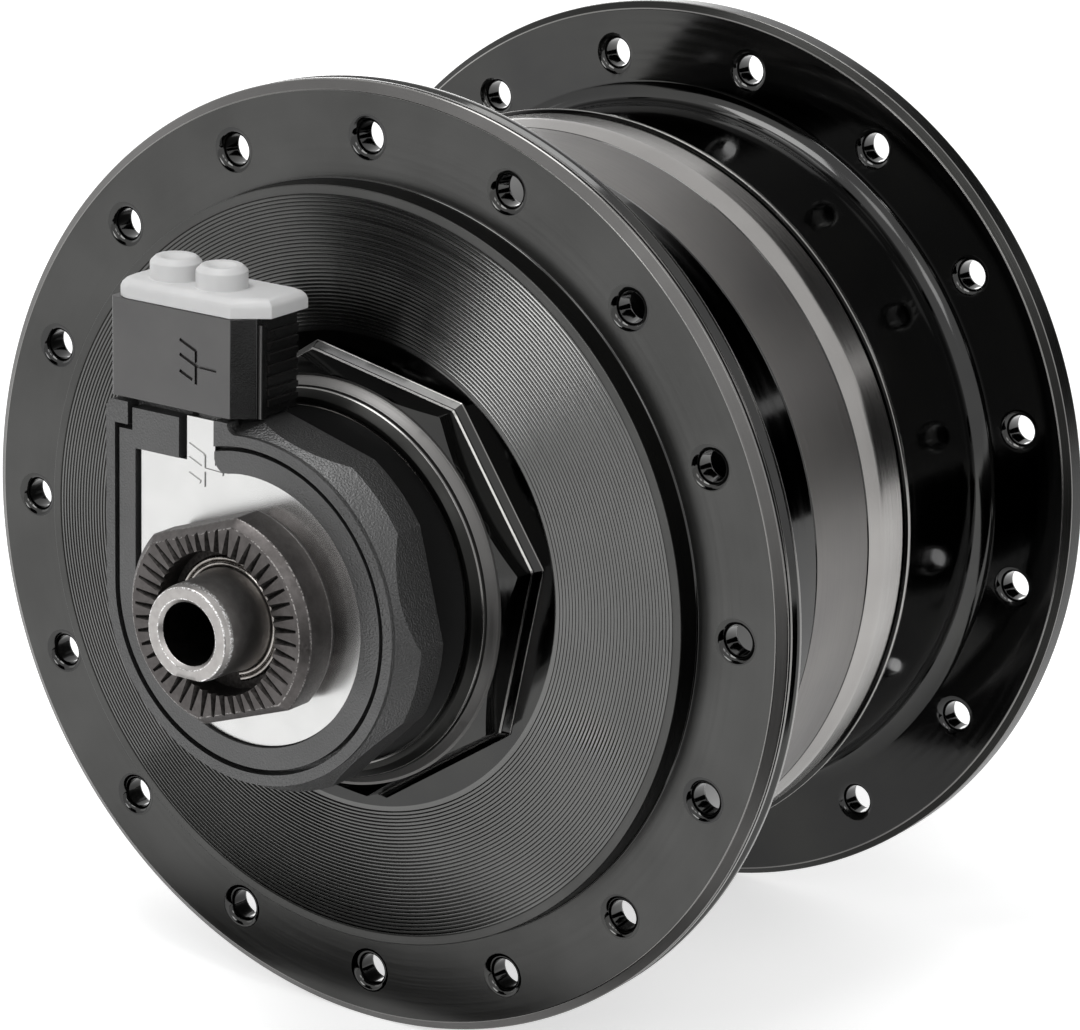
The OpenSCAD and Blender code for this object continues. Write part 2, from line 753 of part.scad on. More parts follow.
module inner_cover() {
    color(plastic_c) slab(cover_y, floor_y - press_gap) difference() {
        intersection() {
            pocket_outline(parting_gap);
            union() {
                circle(r = conn_r);
                pane([-conn_r, 0], [block_x, cover_top]);
            }
        }
        window_outline(0, 0);
        pane([block_x, 0], [tab_x + terminal_w / 2 + slot_play, conn_top + 1]);
    }
}

// Chassis-earth sign, made of strokes; its place is the middle of the upright bar. Each slanted
// stroke is given by its height at the bar and by how far short of the bar it ends.
module earth_sign(place, size, w) {
    translate(place) scale(size) {
        stroke([0, 1.55], [0, -1.55], w / size);
        for (p = [[1.5, 0], [0.15, 0], [-1.35, 0.4]])
            stroke([-1.85, p[0] + 0.8], [-p[1], p[0] + 0.43 * p[1]], w / size);
        stroke([0, 0.15], [2.3, 0.05], w / size);
    }
}

module earth_plate() {
    tab_a = tab_x - terminal_w / 2;
    tab_b = tab_x + terminal_w / 2;
    color(plate_c) {
        difference() {
            union() {
                slab(plate_y, floor_y - press_gap) {
                    window_outline(plate_play, plate_side_gap);
                    pane([tab_a, block_z - 1], [tab_b, conn_top - 0.2]);
                }
                block([tab_a, plate_y, conn_top - 1], [tab_b, terminal_y + terminal_t, conn_top - 0.2]);
                block([tab_a, terminal_y, conn_top - 1],
                      [tab_b, terminal_y + terminal_t, terminal_top]);
                slab(plate_y - 0.12, plate_y + eps) earth_sign([tab_x + 0.35, block_z - 0.8], 0.95, mark_w);
            }
            rod(plate_y - 1, floor_y + 1, seat_r + press_gap);
        }
    }
}

module signal_terminal() {
    color(plate_c)
        block([signal_x - terminal_w / 2, terminal_y, terminal_foot_z],
              [signal_x + terminal_w / 2, terminal_y + terminal_t, terminal_top]);
}

module hub_shell() {
    color(black_c) difference() {
        turned(concat(
            [[shell_r, shell_joint_y], [sleeve_seat_r, shell_joint_y],
             [sleeve_seat_r, sleeve_end_y + press_gap], [sleeve_r, sleeve_end_y + press_gap],
             [sleeve_r + band_rise, sleeve_end_y + band_w],
             [sleeve_r + band_rise, sleeve_end_y + band_w + plateau_w],
             [sleeve_r + band_rise - bead_groove_depth, sleeve_end_y + band_w + plateau_w],
             [sleeve_r + band_rise - bead_groove_depth,
              sleeve_end_y + band_w + plateau_w + bead_groove_w],
             [bead_r, sleeve_end_y + band_w + plateau_w + bead_groove_w],
             [bead_r, sleeve_end_y + band_w + plateau_w + bead_groove_w + bead_w],
             [barrel_r, sleeve_end_y + band_w + plateau_w + bead_groove_w + bead_w + 0.8]],
            fillet_points(barrel_r, flange_in, flange_fillet, -1),
            [[flange_r - rim_round, flange_in], [flange_r - rim_round * 0.3, flange_in + rim_round * 0.3],
             [flange_r, flange_in + rim_round], [flange_r, flange_out - rim_back],
             [flange_r - rim_back, flange_out],
             [far_disc_r, flange_out], [far_disc_r - 0.5, far_disc_y],
             [far_boss_r + 1.5, far_disc_y], [far_boss_r, far_disc_y + 1.5],
             [far_boss_r, far_boss_y - 0.4], [far_boss_r - 0.4, far_boss_y], [dust_r + press_gap, far_boss_y],
             [dust_r + press_gap, far_cup_out_y], [far_cup_r + press_gap, far_cup_out_y],
             [far_cup_r + press_gap, far_cup_in_y], [far_pitch_r, far_cup_in_y],
             [far_pitch_r, far_web_y], [shell_r, far_web_y]]
        ));
        spoke_cuts(flange_in, spoke_phase + spoke_step / 2);
    }
}

module near_flange() {
    groove_end_r = groove_start_d / 2 + groove_n * groove_pitch;
    color(turned_c) difference() {
        turned(concat(
            [[cap_thread_r + press_gap, near_web_y], [cap_thread_r + press_gap, disc_y]],
            groove_points(groove_start_d / 2, groove_n, disc_y),
            [[groove_end_r, disc_y], [disc_r - disc_draft, disc_y], [disc_r, -flange_out],
             [flange_r - rim_chamfer, -flange_out], [flange_r, -flange_out + rim_chamfer * 0.7]],
            rim_points(flange_r, -flange_out + rim_chamfer * 0.7 + 0.2, 1),
            [[flange_r, -flange_in - rim_back], [flange_r - rim_back, -flange_in]],
            [for (i = [6 : -1 : 0]) fillet_points(shoulder_r, -flange_in, flange_fillet, 1)[i]],
            [[shoulder_r, shell_joint_y - 0.3], [shoulder_r - 0.3, shell_joint_y],
             [shell_r, shell_joint_y], [shell_r, near_web_y]]
        ));
        spoke_cuts(-flange_out, spoke_phase);
    }
}

module plain_sleeve() {
    color(sleeve_c) difference() {
        rod(sleeve_y, sleeve_end_y, sleeve_r);
        rod(sleeve_y - 1, sleeve_end_y + 1, sleeve_r - sleeve_wall);
    }
}

// An eight-sided rod along Y, given by its widths across the flats at its two ends
module octagon(y0, y1, af0, af1) {
    translate([0, y0, 0]) rotate([-90, -oct_turn, 0])
        cylinder(h = y1 - y0, d1 = af0 / cos(22.5), d2 = af1 / cos(22.5), $fn = 8);
}

module bearing_cap() {
    color(black_c) difference() {
        union() {
            rod(disc_y - eps, cap_in_y, cap_thread_r);
            octagon(disc_y - cap_foot_h, disc_y, cap_wall_af + 0.3, cap_foot_af);
            intersection() {
                octagon(cap_top_y, disc_y - cap_foot_h + eps, cap_top_af, cap_wall_af);
                turned([[0, cap_top_y], [cap_front_d / 2, cap_top_y],
                        [cap_corner_r, cap_top_y + cap_chamfer_slope * (cap_corner_r - cap_front_d / 2)],
                        [cap_corner_r, disc_y], [0, disc_y]]);
            }
            rod(collar_y, cap_top_y + eps, collar_r, collar_r + collar_draft);
        }
        rod(cup_seat_y, cap_in_y + 1, near_cup_r + press_gap);
        rod(cap_top_y, cup_seat_y + eps, near_cup_r - 1.2);
        rod(collar_y - 1, cap_top_y + 0.6, collar_bore_r);
    }
}

module flux_ring() {
    color(steel_c) difference() {
        rod(-flux_w / 2, flux_w / 2, shell_r - press_gap);
        rod(-flux_w / 2 - 1, flux_w / 2 + 1, shell_r - press_gap - flux_t);
    }
}

module magnets() {
    gap_angle = magnet_gap / magnet_r * 180 / PI;
    step = 360 / magnets_n;
    color(magnet_c) for (i = [0 : magnets_n - 1])
        rotate([-90, 0, 0]) rotate([0, 0, i * step]) rotate_extrude(angle = step - gap_angle)
            pane([magnet_in_r, -flux_w / 2 + 1], [magnet_r, flux_w / 2 - 1]);
}

module near_cup() {
    color(steel_c) race_cup(near_pitch_r, near_cup_r, near_ball_y, -1);
}

module far_cup() {
    color(steel_c) race_cup(far_pitch_r, far_cup_r, far_ball_y, 1);
}

module near_seal() {
    lip_r = near_neck_r + turn_gap;
    out_r = collar_bore_r - press_gap;
    color(rubber_c) turned([
        [lip_r, seal_y], [lip_r + 1, seal_y - 0.5], [out_r, seal_y - 0.5],
        [out_r, cap_top_y + 0.6 - press_gap], [lip_r + 1, cap_top_y + 0.6 - press_gap],
        [lip_r, seal_y + 1]
    ]);
}

module far_dust_cap() {
    lip_r = far_neck_r + turn_gap;
    color(rubber_c) turned([
        [lip_r, far_boss_y - dust_t], [dust_r, far_boss_y - dust_t], [dust_r, far_boss_y + 0.4],
        [dust_r - 0.6, far_boss_y + 0.8], [lip_r + 0.8, far_boss_y + 0.8],
        [lip_r, far_boss_y + 0.2]
    ]);
}

module near_balls() {
    color([0.8, 0.8, 0.8]) ball_ring(near_balls_n, near_pitch_r, near_ball_y);
}

module near_ball_cage() {
    color(steel_c) ball_cage(near_balls_n, near_pitch_r, near_ball_y, -1);
}

module far_balls() {
    color([0.8, 0.8, 0.8]) ball_ring(far_balls_n, far_pitch_r, far_ball_y);
}

module far_ball_cage() {
    color(steel_c) ball_cage(far_balls_n, far_pitch_r, far_ball_y, 1);
}

// Outline of the plug seen from above, with the chamfered corner
module plug_outline() {
    left = plug_left_x;
    right = plug_right_x;
    front = conn_y;
    back = plug_back_y;
    polygon([[left, front + 0.3], [left + 0.3, front], [right - plug_chamfer, front],
             [right, front + plug_chamfer * chamfer_slope], [right, back - 0.4], [right - 0.4, back],
             [left + 0.4, back], [left, back - 0.4]]);
}

module plug_body() {
    side_y0 = conn_y + plug_chamfer * chamfer_slope + strip_l;
    color(plastic_c) difference() {
        union() {
            translate([0, 0, plug_z]) linear_extrude(height = plug_h) plug_outline();
            for (i = [0 : grip_ribs - 1]) for (x = [plug_left_x - grip_rib_h, plug_right_x - 0.5])
                block([x, side_y0, grip_z0 + i * grip_pitch],
                      [x + grip_rib_h + 0.5, plug_back_y - 0.6, grip_z0 + (i + 0.55) * grip_pitch]);
            block([plug_right_x - 0.5, side_y0 - strip_l + 0.3, plug_z],
                  [plug_right_x + grip_rib_h, side_y0 - 0.3, plug_top - 0.6]);
        }
        for (x = [tab_x, signal_x])
            block([x - terminal_w / 2 - plug_play, terminal_y - plug_play, plug_z - 1],
                  [x + terminal_w / 2 + plug_play, terminal_y + terminal_t + plug_play,
                   terminal_top + plug_play]);
        for (x = [tab_x, signal_x]) translate([x, boss_y, terminal_top])
            cylinder(h = plug_h, d = wire_hole_d);
        slab(conn_y - 1, conn_y + mark_depth) earth_sign([tab_x - 0.2, plug_z + 4.1], 1, mark_w);
    }
}

// Outline of the grey cap's lid seen from above
module lid_outline(inset) {
    left = plug_left_x + lid_side_gap + inset;
    right = plug_right_x + lid_overhang - inset;
    cut = plug_chamfer + lid_overhang - inset * 0.6;
    front = conn_y + inset;
    back = plug_back_y + lid_back_lip - inset;
    r = lid_corner_r - inset / 2;
    hull() {
        for (y = [front + r, back - r]) translate([left + r, y]) circle(r = r);
        polygon([[right - cut, front], [right, front + cut * chamfer_slope], [right, back - 0.4],
                 [right - 0.4, back], [right - cut, back]]);
    }
}

module plug_cap() {
    color(cap_c) difference() {
        union() {
            hull() {
                translate([0, 0, plug_top + press_gap])
                    linear_extrude(height = lid_t / 2) lid_outline(0);
                for (p = lid_slices) translate([0, 0, lid_top - p[0] - 0.02])
                    linear_extrude(height = 0.02) lid_outline(p[1]);
            }
            for (x = [tab_x, signal_x]) translate([x, boss_y, lid_top - 0.5]) {
                cylinder(h = boss_h + 0.5 - boss_round, d = boss_d);
                translate([0, 0, boss_h + 0.5 - boss_round])
                    cylinder(h = boss_round, d1 = boss_d, d2 = boss_d - 2 * boss_round);
            }
        }
        for (x = [tab_x, signal_x]) translate([x, boss_y, 0]) {
            translate([0, 0, plug_top - 1]) cylinder(h = 1 + lid_t + boss_h - 1, d = wire_hole_d);
            translate([0, 0, boss_top + 2.6]) sphere(r = 3);
        }
    }
}

axle();
near_cone();
far_cone();
near_locknut();
far_locknut();
snap_ring();
far_spacer();
stator_core();
near_yoke();
far_yoke();
bobbin();
coil();
coil_lead();
connector_base();
inner_cover();
earth_plate();
signal_terminal();
hub_shell();
near_flange();
plain_sleeve();
bearing_cap();
flux_ring();
magnets();
near_cup();
far_cup();
near_seal();
far_dust_cap();
near_balls();
near_ball_cage();
far_balls();
far_ball_cage();
plug_body();
plug_cap();
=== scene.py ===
"""Looks of a hub dynamo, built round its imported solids.

The axle lies along Y with the connector at the -Y end, and +Z is up. Sizes are in
millimetres in every class and turn to metres where a mesh is made.
"""
import logging
import math
from collections.abc import Callable, Iterator
from contextlib import contextmanager
from dataclasses import dataclass, field
from enum import Enum
from functools import cache

import bmesh
import bpy
from mathutils import Matrix, Vector


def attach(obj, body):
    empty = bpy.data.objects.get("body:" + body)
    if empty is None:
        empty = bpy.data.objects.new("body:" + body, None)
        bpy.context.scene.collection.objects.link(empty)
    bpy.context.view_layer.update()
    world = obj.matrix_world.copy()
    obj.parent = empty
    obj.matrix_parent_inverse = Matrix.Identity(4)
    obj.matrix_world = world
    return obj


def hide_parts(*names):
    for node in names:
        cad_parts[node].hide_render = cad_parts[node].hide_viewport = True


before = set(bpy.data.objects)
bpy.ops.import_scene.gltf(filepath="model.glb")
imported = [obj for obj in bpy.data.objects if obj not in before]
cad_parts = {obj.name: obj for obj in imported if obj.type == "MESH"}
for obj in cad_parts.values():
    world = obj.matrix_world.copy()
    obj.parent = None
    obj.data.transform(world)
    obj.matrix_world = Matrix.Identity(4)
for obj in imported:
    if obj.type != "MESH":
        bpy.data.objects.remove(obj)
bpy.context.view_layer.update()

MM = 0.001
TAU = 2 * math.pi
CREASE_DEG = 32.0        # faces that meet at more than this are shaded with a sharp edge
STACK_DEG = 24.0         # the same for the stacked rings of the cap
FLAT_DEG = 0.5           # faces that meet at less than this become one
SAME_POINT = 0.0005      # points nearer than this, in millimetres, become one
FLAT_WEIGHT = 80         # how far large faces pull the normals beside them
BEVEL_FACES = 3          # faces across a rounded edge
log = logging.getLogger("hub_dynamo")

Tree = bpy.types.NodeTree
Socket = bpy.types.NodeSocket
Material = bpy.types.Material
Mesh = bpy.types.Mesh
Object = bpy.types.Object
Edge = bmesh.types.BMEdge


class Body(str, Enum):
    """Bodies that the pieces ride on."""

    AXLE = "axle_set"
    SHELL = "shell"
    PLUG = "plug"
    LID = "plug_lid"


# ---------------------------------------------------------------- colours and nodes

def linear(code: str) -> tuple[float, float, float, float]:
    """Turn an sRGB hex colour to linear RGBA.

    Args:
        code: six hex digits, with or without a leading hash.

    Returns:
        Red, green, blue and alpha for a colour socket.
    """
    code = code.lstrip("#")
    parts = [int(code[i:i + 2], 16) / 255 for i in (0, 2, 4)]
    r, g, b = [c / 12.92 if c <= 0.04045 else ((c + 0.055) / 1.055) ** 2.4 for c in parts]
    return r, g, b, 1.0


def add(tree: Tree, kind: str, inputs: dict | None = None, **settings) -> bpy.types.Node:
    """Add one node with its settings, values and links.

    Args:
        tree: the shader or geometry tree that takes the node.
        kind: the node's type name.
        inputs: values or sockets, by the name or number of the node's input.
        **settings: properties of the node.

    Returns:
        The new node.
    """
    node = tree.nodes.new(kind)
    for key, value in settings.items():
        setattr(node, key, value)
    for key, value in (inputs or {}).items():
        if isinstance(value, Socket):
            tree.links.new(value, node.inputs[key])
        else:
            node.inputs[key].default_value = value
    return node


def maths(tree: Tree, operation: str, *values: Socket | float, clamp: bool = False) -> Socket:
    """One step of arithmetic between sockets and numbers."""
    return add(tree, "ShaderNodeMath", dict(enumerate(values)), operation=operation,
               use_clamp=clamp).outputs[0]


def blank(made: Material | bpy.types.World) -> Tree:
    """Turn on the nodes of a material or a world, and clear them."""
    made.use_nodes = True
    made.node_tree.nodes.clear()
    return made.node_tree


def place_mm(tree: Tree) -> Socket:
    """Object coordinates in millimetres, so that a pattern's size is a real one."""
    coords = add(tree, "ShaderNodeTexCoord")
    return add(tree, "ShaderNodeVectorMath", {0: coords.outputs["Object"], "Scale": 1000.0},
               operation="SCALE").outputs[0]


def turned_place(tree: Tree) -> Socket:
    """Radius and height of a point on a turned piece, in millimetres.

    Args:
        tree: the material's tree.

    Returns:
        A vector socket with the radius in X and the place along the axle in Y.
    """
    xyz = add(tree, "ShaderNodeSeparateXYZ", {0: place_mm(tree)})
    flat = add(tree, "ShaderNodeCombineXYZ", {"X": xyz.outputs["X"], "Z": xyz.outputs["Z"]})
    radius = add(tree, "ShaderNodeVectorMath", {0: flat.outputs[0]}, operation="LENGTH")
    return add(tree, "ShaderNodeCombineXYZ",
               {"X": radius.outputs["Value"], "Y": xyz.outputs["Y"]}).outputs[0]


def noise(tree: Tree, place: Socket, size: float, detail: float = 2.0) -> Socket:
    """Noise from 0 to 1 with features of a given size in millimetres."""
    return add(tree, "ShaderNodeTexNoise",
               {"Vector": place, "Scale": 1.0 / size, "Detail": detail}).outputs[0]


def span(tree: Tree, value: Socket, low: float, high: float,
         to_low: float, to_high: float) -> Socket:
    """Stretch a value from one range to another and clamp it."""
    return add(tree, "ShaderNodeMapRange",
               {"Value": value, "From Min": low, "From Max": high,
                "To Min": to_low, "To Max": to_high}).outputs[0]


def blend(tree: Tree, factor: Socket, a: str, b: str) -> Socket:
    """Mix two hex colours by a factor."""
    return add(tree, "ShaderNodeMix", {"Factor": factor, "A": linear(a), "B": linear(b)},
               data_type="RGBA").outputs["Result"]


def seen_ray(tree: Tree) -> Socket:
    """1 for what the camera, reflections and clear pieces see, and 0 for diffuse light."""
    path = add(tree, "ShaderNodeLightPath").outputs
    seen = maths(tree, "MAXIMUM", path["Is Camera Ray"], path["Is Glossy Ray"])
    return maths(tree, "MAXIMUM", seen, path["Is Transmission Ray"])


# ---------------------------------------------------------------- finishes

@dataclass(frozen=True)
class Finish:
    """A surface finish. Sizes are millimetres and colours are sRGB hex."""

    name: str
    colour: str
    roughness: float = 0.3

    def start(self) -> tuple[Tree, bpy.types.Node, Material]:
        """Make an empty material with a Principled shader.

        Returns:
            The tree, the shader node and the material.
        """
        made = bpy.data.materials.new(self.name)
        tree = blank(made)
        shader = add(tree, "ShaderNodeBsdfPrincipled")
        add(tree, "ShaderNodeOutputMaterial", {"Surface": shader.outputs[0]})
        made.diffuse_color = linear(self.colour)
        return tree, shader, made

    def link_up(self, tree: Tree, shader: bpy.types.Node, base: Socket,
                ripple: Socket, relief: Socket, depth: float) -> None:
        """Link the shader to its colour, its uneven gloss and its fine relief.

        Args:
            tree: the material's tree.
            shader: the Principled shader.
            base: the colour.
            ripple: what is added to the roughness.
            relief: height of the relief, from 0 to 1.
            depth: depth of the relief in millimetres.
        """
        tree.links.new(base, shader.inputs["Base Color"])
        rough = maths(tree, "ADD", ripple, self.roughness)
        tree.links.new(rough, shader.inputs["Roughness"])
        bump = add(tree, "ShaderNodeBump", {"Height": relief, "Strength": 1.0,
                                            "Distance": depth * MM})
        tree.links.new(bump.outputs[0], shader.inputs["Normal"])


@dataclass(frozen=True)
class TurnedAluminium(Finish):
    """Aluminium off the lathe, anodised: fine rings round the axle that drag the light out."""

    shade: str = "#000000"
    line: float = 0.12
    line_depth: float = 0.002
    anisotropy: float = 0.0
    haze: float = 0.05

    def make(self) -> Material:
        """Build the material.

        Returns:
            The finished material.
        """
        tree, shader, made = self.start()
        turned = turned_place(tree)
        lines = noise(tree, turned, self.line, 3.0)
        cloud = noise(tree, place_mm(tree), 9.0, 3.0)
        base = blend(tree, span(tree, cloud, 0.35, 0.65, 0.0, 1.0), self.colour, self.shade)
        ripple = span(tree, lines, 0.3, 0.7, -self.haze, self.haze)
        self.link_up(tree, shader, base, ripple, lines, self.line_depth)
        shader.inputs["Metallic"].default_value = 1.0
        if self.anisotropy:
            shader.inputs["Anisotropic"].default_value = self.anisotropy
            tangent = add(tree, "ShaderNodeTangent", direction_type="RADIAL", axis="Y")
            tree.links.new(tangent.outputs[0], shader.inputs["Tangent"])
        return made


@dataclass(frozen=True)
class Moulded(Finish):
    """Injection-moulded plastic: a spark-eroded grain that breaks up the gloss."""

    shade: str = "#000000"
    grain: float = 0.18
    grain_depth: float = 0.012
    specular: float = 0.5
    scatter: float = 0.0
    haze: float = 0.04

    def make(self) -> Material:
        """Build the material.

        Returns:
            The finished material.
        """
        tree, shader, made = self.start()
        place = place_mm(tree)
        grain = noise(tree, place, self.grain, 2.0)
        cloud = noise(tree, place, 4.0, 3.0)
        base = blend(tree, span(tree, cloud, 0.35, 0.65, 0.0, 1.0), self.colour, self.shade)
        ripple = span(tree, cloud, 0.3, 0.7, -self.haze, self.haze)
        self.link_up(tree, shader, base, ripple, grain, self.grain_depth)
        shader.inputs["Specular IOR Level"].default_value = self.specular
        if self.scatter:
            shader.inputs["Subsurface Weight"].default_value = self.scatter
            shader.inputs["Subsurface Radius"].default_value = (1.0, 0.9, 0.8)
            shader.inputs["Subsurface Scale"].default_value = 0.6 * MM
        return made


@dataclass(frozen=True)
class WornSteel(Finish):
    """Machined steel, blackened or oiled: mottled, with bright metal where edges rub."""

    bright: str = "#b8b4b0"
    shade: str = "#3a3634"
    mottle: float = 0.9
    pit_depth: float = 0.01
    wear: float = 0.5
    haze: float = 0.09

    def make(self) -> Material:
        """Build the material. The wear comes from the mesh's "wear" attribute and noise.

        Returns:
            The finished material.
        """
        tree, shader, made = self.start()
        place = place_mm(tree)
        patches = noise(tree, place, self.mottle, 5.0)
        flecks = noise(tree, place, self.mottle * 0.22, 4.0)
        base = blend(tree, span(tree, patches, 0.38, 0.62, 0.0, 1.0), self.colour, self.shade)
        edge = add(tree, "ShaderNodeAttribute", attribute_name="wear").outputs["Fac"]
        wear_and_sheen = maths(tree, "MULTIPLY", span(tree, flecks, 0.46, 0.6, 0.0, 1.0), edge)
        amount = maths(tree, "MULTIPLY", wear_and_sheen, self.wear, clamp=True)
        mixed = add(tree, "ShaderNodeMix", {"Factor": amount, "A": base,
                                            "B": linear(self.bright)}, data_type="RGBA")
        ripple = span(tree, flecks, 0.35, 0.65, -self.haze, self.haze)
        self.link_up(tree, shader, mixed.outputs["Result"], ripple, flecks, self.pit_depth)
        shader.inputs["Metallic"].default_value = 1.0
        return made


# Black anodising. Flanges: a soft sheen dragged round the axle. Disc: a keener one that fans
# out in wedges. Gloss: sharp reflections, for the far flange and the cap. Painted shade: a
# near-black copy for the valleys between the disc's grooves, the disc's edge and dark strips on
# the far rim and the cap. Painted highlight: a light grey for the thin light lines along corners
# off the lathe. Painted sheen: a blurred grey glow painted on the cone behind the collar and on
# the near flange's outer chamfer.
BLACK_TURNED = TurnedAluminium("black_anodised_turned", "#50504f", 0.36, shade="#4a4a49",
                               line=0.16, line_depth=0.003, anisotropy=0.35)
BLACK_GROOVED = TurnedAluminium("black_anodised_grooved", "#656564", 0.17, shade="#5f5f5e",
                                line=0.10, line_depth=0.0015, anisotropy=0.2)
PAINTED_SHADE_BLACK = TurnedAluminium("black_anodised_valley", "#2c2c2b", 0.3, shade="#262625",
                              line=0.12, line_depth=0.001)
BLACK_GLOSS = TurnedAluminium("black_anodised_gloss", "#434342", 0.1, shade="#3e3e3e",
                              line=0.5, line_depth=0.0006, haze=0.03)
PAINTED_EDGE_HIGHLIGHT = TurnedAluminium("black_anodised_edge", "#807f7d", 0.2, shade="#747372",
                             line=0.12, line_depth=0.002)
PAINTED_SHEEN_GREY = TurnedAluminium("black_anodised_rubbed", "#646362", 0.42, shade="#5d5c5b",
                               line=0.2, line_depth=0.002)
# The barrel: an even satin grey sleeve, and a band and bead in a light grey with fine turned
# lines: a painted highlight on the black shell.
GREY_SATIN = TurnedAluminium("grey_satin_sleeve", "#777573", 0.4, shade="#706e6d",
                             line=0.3, line_depth=0.001)
PAINTED_HIGHLIGHT_GREY = TurnedAluminium("grey_polished_band", "#9c9a98", 0.22, shade="#92908e",
                            line=0.2, line_depth=0.002)
# Steel. Nuts: dull brown black with bright flecks where edges rub; their serration cuts and
# recess are a darker steel, painted shade. Axle: mottled bare metal with a pale worn rim, and a
# near-black bore, painted shade. Inside: ground, punched or mirror bright surfaces.
BLACK_STEEL = WornSteel("blackened_steel", "#595655", 0.42, bright="#b0adab", shade="#504d4c",
                        wear=0.7, pit_depth=0.006)
PAINTED_SHADE_STEEL = WornSteel("blackened_steel_valley", "#3a3837", 0.5, bright="#6a6765", shade="#262423",
                      mottle=0.35, wear=0.0)
BORE_PAINTED_SHADE = WornSteel("drilled_bore_steel", "#1c1b1a", 0.6, shade="#121110", mottle=1.5)
AXLE_STEEL = WornSteel("turned_axle_steel", "#a8a5a3", 0.36, bright="#ffffff", shade="#9e9b99",
                       wear=1.0, pit_depth=0.002, haze=0.05)
WIRE_STEEL = WornSteel("spring_wire_steel", "#a8a4a0", 0.2, bright="#e0dcd8", shade="#8c8884",
                       pit_depth=0.002)
GROUND_STEEL = WornSteel("ground_bearing_steel", "#b4b0ac", 0.18, shade="#9c9894", pit_depth=0.002)
BARE_STEEL = WornSteel("punched_electrical_steel", "#8e8c8c", 0.4, shade="#757373", pit_depth=0.006)
BALL_STEEL = WornSteel("polished_ball_steel", "#d8d8d8", 0.05, shade="#d0d0d0", pit_depth=0.0002)
# Sheet: nearly white, and it fades softly to grey where it mirrors the nut.
TIN_SHEET = WornSteel("tinned_sheet", "#cbcbca", 0.27, bright="#f4f4f2", shade="#c7c7c6",
                      mottle=3.0, pit_depth=0.0, wear=0.0, haze=0.0)
# Plastics. Connector: black with a fine spark-eroded grain that sparkles at a slant. Plug: a
# smoother satin front, and flanks, picked by the way they face, in a darker glossier copy:
# painted shade. Lid: pale and slightly see-through.
NYLON_BLACK = Moulded("moulded_black_nylon", "#272727", 0.36, shade="#202020", grain=0.2,
                      grain_depth=0.1, specular=1.0)
COVER_BLACK = Moulded("moulded_cover_nylon", "#2b2b2b", 0.38, shade="#242424", grain=0.2,
                      grain_depth=0.07, specular=1.0)
PLUG_BLACK = Moulded("moulded_plug_black", "#2c2a29", 0.33, shade="#262424", grain=0.14,
                     grain_depth=0.008, specular=1.0)
PLUG_PAINTED_SHADE = Moulded("moulded_plug_black_polished", "#0c0c0c", 0.26, shade="#080808", grain=0.2,
                     grain_depth=0.01, specular=0.6)
CAP_GREY = Moulded("moulded_light_grey", "#d4d4d4", 0.42, shade="#cecece", grain=0.3,
                   grain_depth=0.003, scatter=0.12)
# Seals, bobbin, wire, magnets and coil, which show only where the part is open.
RUBBER = Moulded("black_seal_rubber", "#161616", 0.62, shade="#121212", grain=0.25)
NATURAL_NYLON = Moulded("natural_nylon", "#d8d0b8", 0.45, shade="#cfc6ac", scatter=0.2)
WIRE_COAT = Moulded("wire_insulation", "#c4c4bc", 0.4, shade="#bcbcb4")
FERRITE = Moulded("sintered_ferrite", "#3c3d42", 0.6, shade="#33343a", grain=0.1)
COPPER = TurnedAluminium("enamelled_copper", "#b4703c", 0.25, shade="#9c5c2c", line=0.35,
                         line_depth=0.06)


@cache
def material_of(finish: Finish) -> Material:
    """The material of a finish, made at its first use."""
    return finish.make()


# ---------------------------------------------------------------- meshes

@dataclass(frozen=True)
class Corner:
    """A corner of a turned profile.

    The zone numbers the finish of the face that leaves the corner, a shaped corner follows
    the piece's outline, and wear says how rubbed it is once the profile is rounded.
    """

    r: float
    y: float
    soft: float = 0.0
    zone: int = 0
    shaped: bool = False
    wear: float = 0.0


def rows(*values: tuple) -> list[Corner]:
    """Corners from rows of radius, place along the axle, softness, zone and shaping."""
    return [Corner(*row) for row in values]


def soften(corners: list[Corner], steps: int = 4) -> list[Corner]:
    """Round the corners of a closed profile.

    Args:
        corners: the profile's corners in order.
        steps: how many faces each rounded corner gets.

    Returns:
        The points of the rounded profile.
    """
    out: list[Corner] = []
    n = len(corners)
    for i, c in enumerate(corners):
        if c.soft <= 0:
            out.append(c)
            continue
        here = Vector((c.r, c.y))
        before = Vector((corners[i - 1].r, corners[i - 1].y)) - here
        after = Vector((corners[(i + 1) % n].r, corners[(i + 1) % n].y)) - here
        a = here + before.normalized() * min(c.soft, before.length * 0.45)
        b = here + after.normalized() * min(c.soft, after.length * 0.45)
        for k in range(steps + 1):
            t = k / steps
            p = a * (1 - t) ** 2 + here * 2 * t * (1 - t) + b * t * t
            zone = c.zone if k * 2 >= steps else corners[i - 1].zone
            out.append(Corner(p.x, p.y, 0.0, zone, c.shaped, math.sin(math.pi * t)))
    return out


def show(name: str, data: bpy.types.ID) -> Object:
    """Put a mesh, a light or a camera in the scene as an object."""
    made = bpy.data.objects.new(name, data)
    bpy.context.scene.collection.objects.link(made)
    return made


def link_new(name: str, mesh: Mesh, finishes: list[Finish]) -> Object:
    """Put a mesh in the scene as an object with its materials."""
    piece = show(name, mesh)
    for finish in finishes:
        mesh.materials.append(material_of(finish))
    return piece


@contextmanager
def edited(mesh: Mesh) -> Iterator[bmesh.types.BMesh]:
    """Open a mesh for editing and write it back."""
    work = bmesh.new()
    work.from_mesh(mesh)
    yield work
    work.to_mesh(mesh)
    work.free()


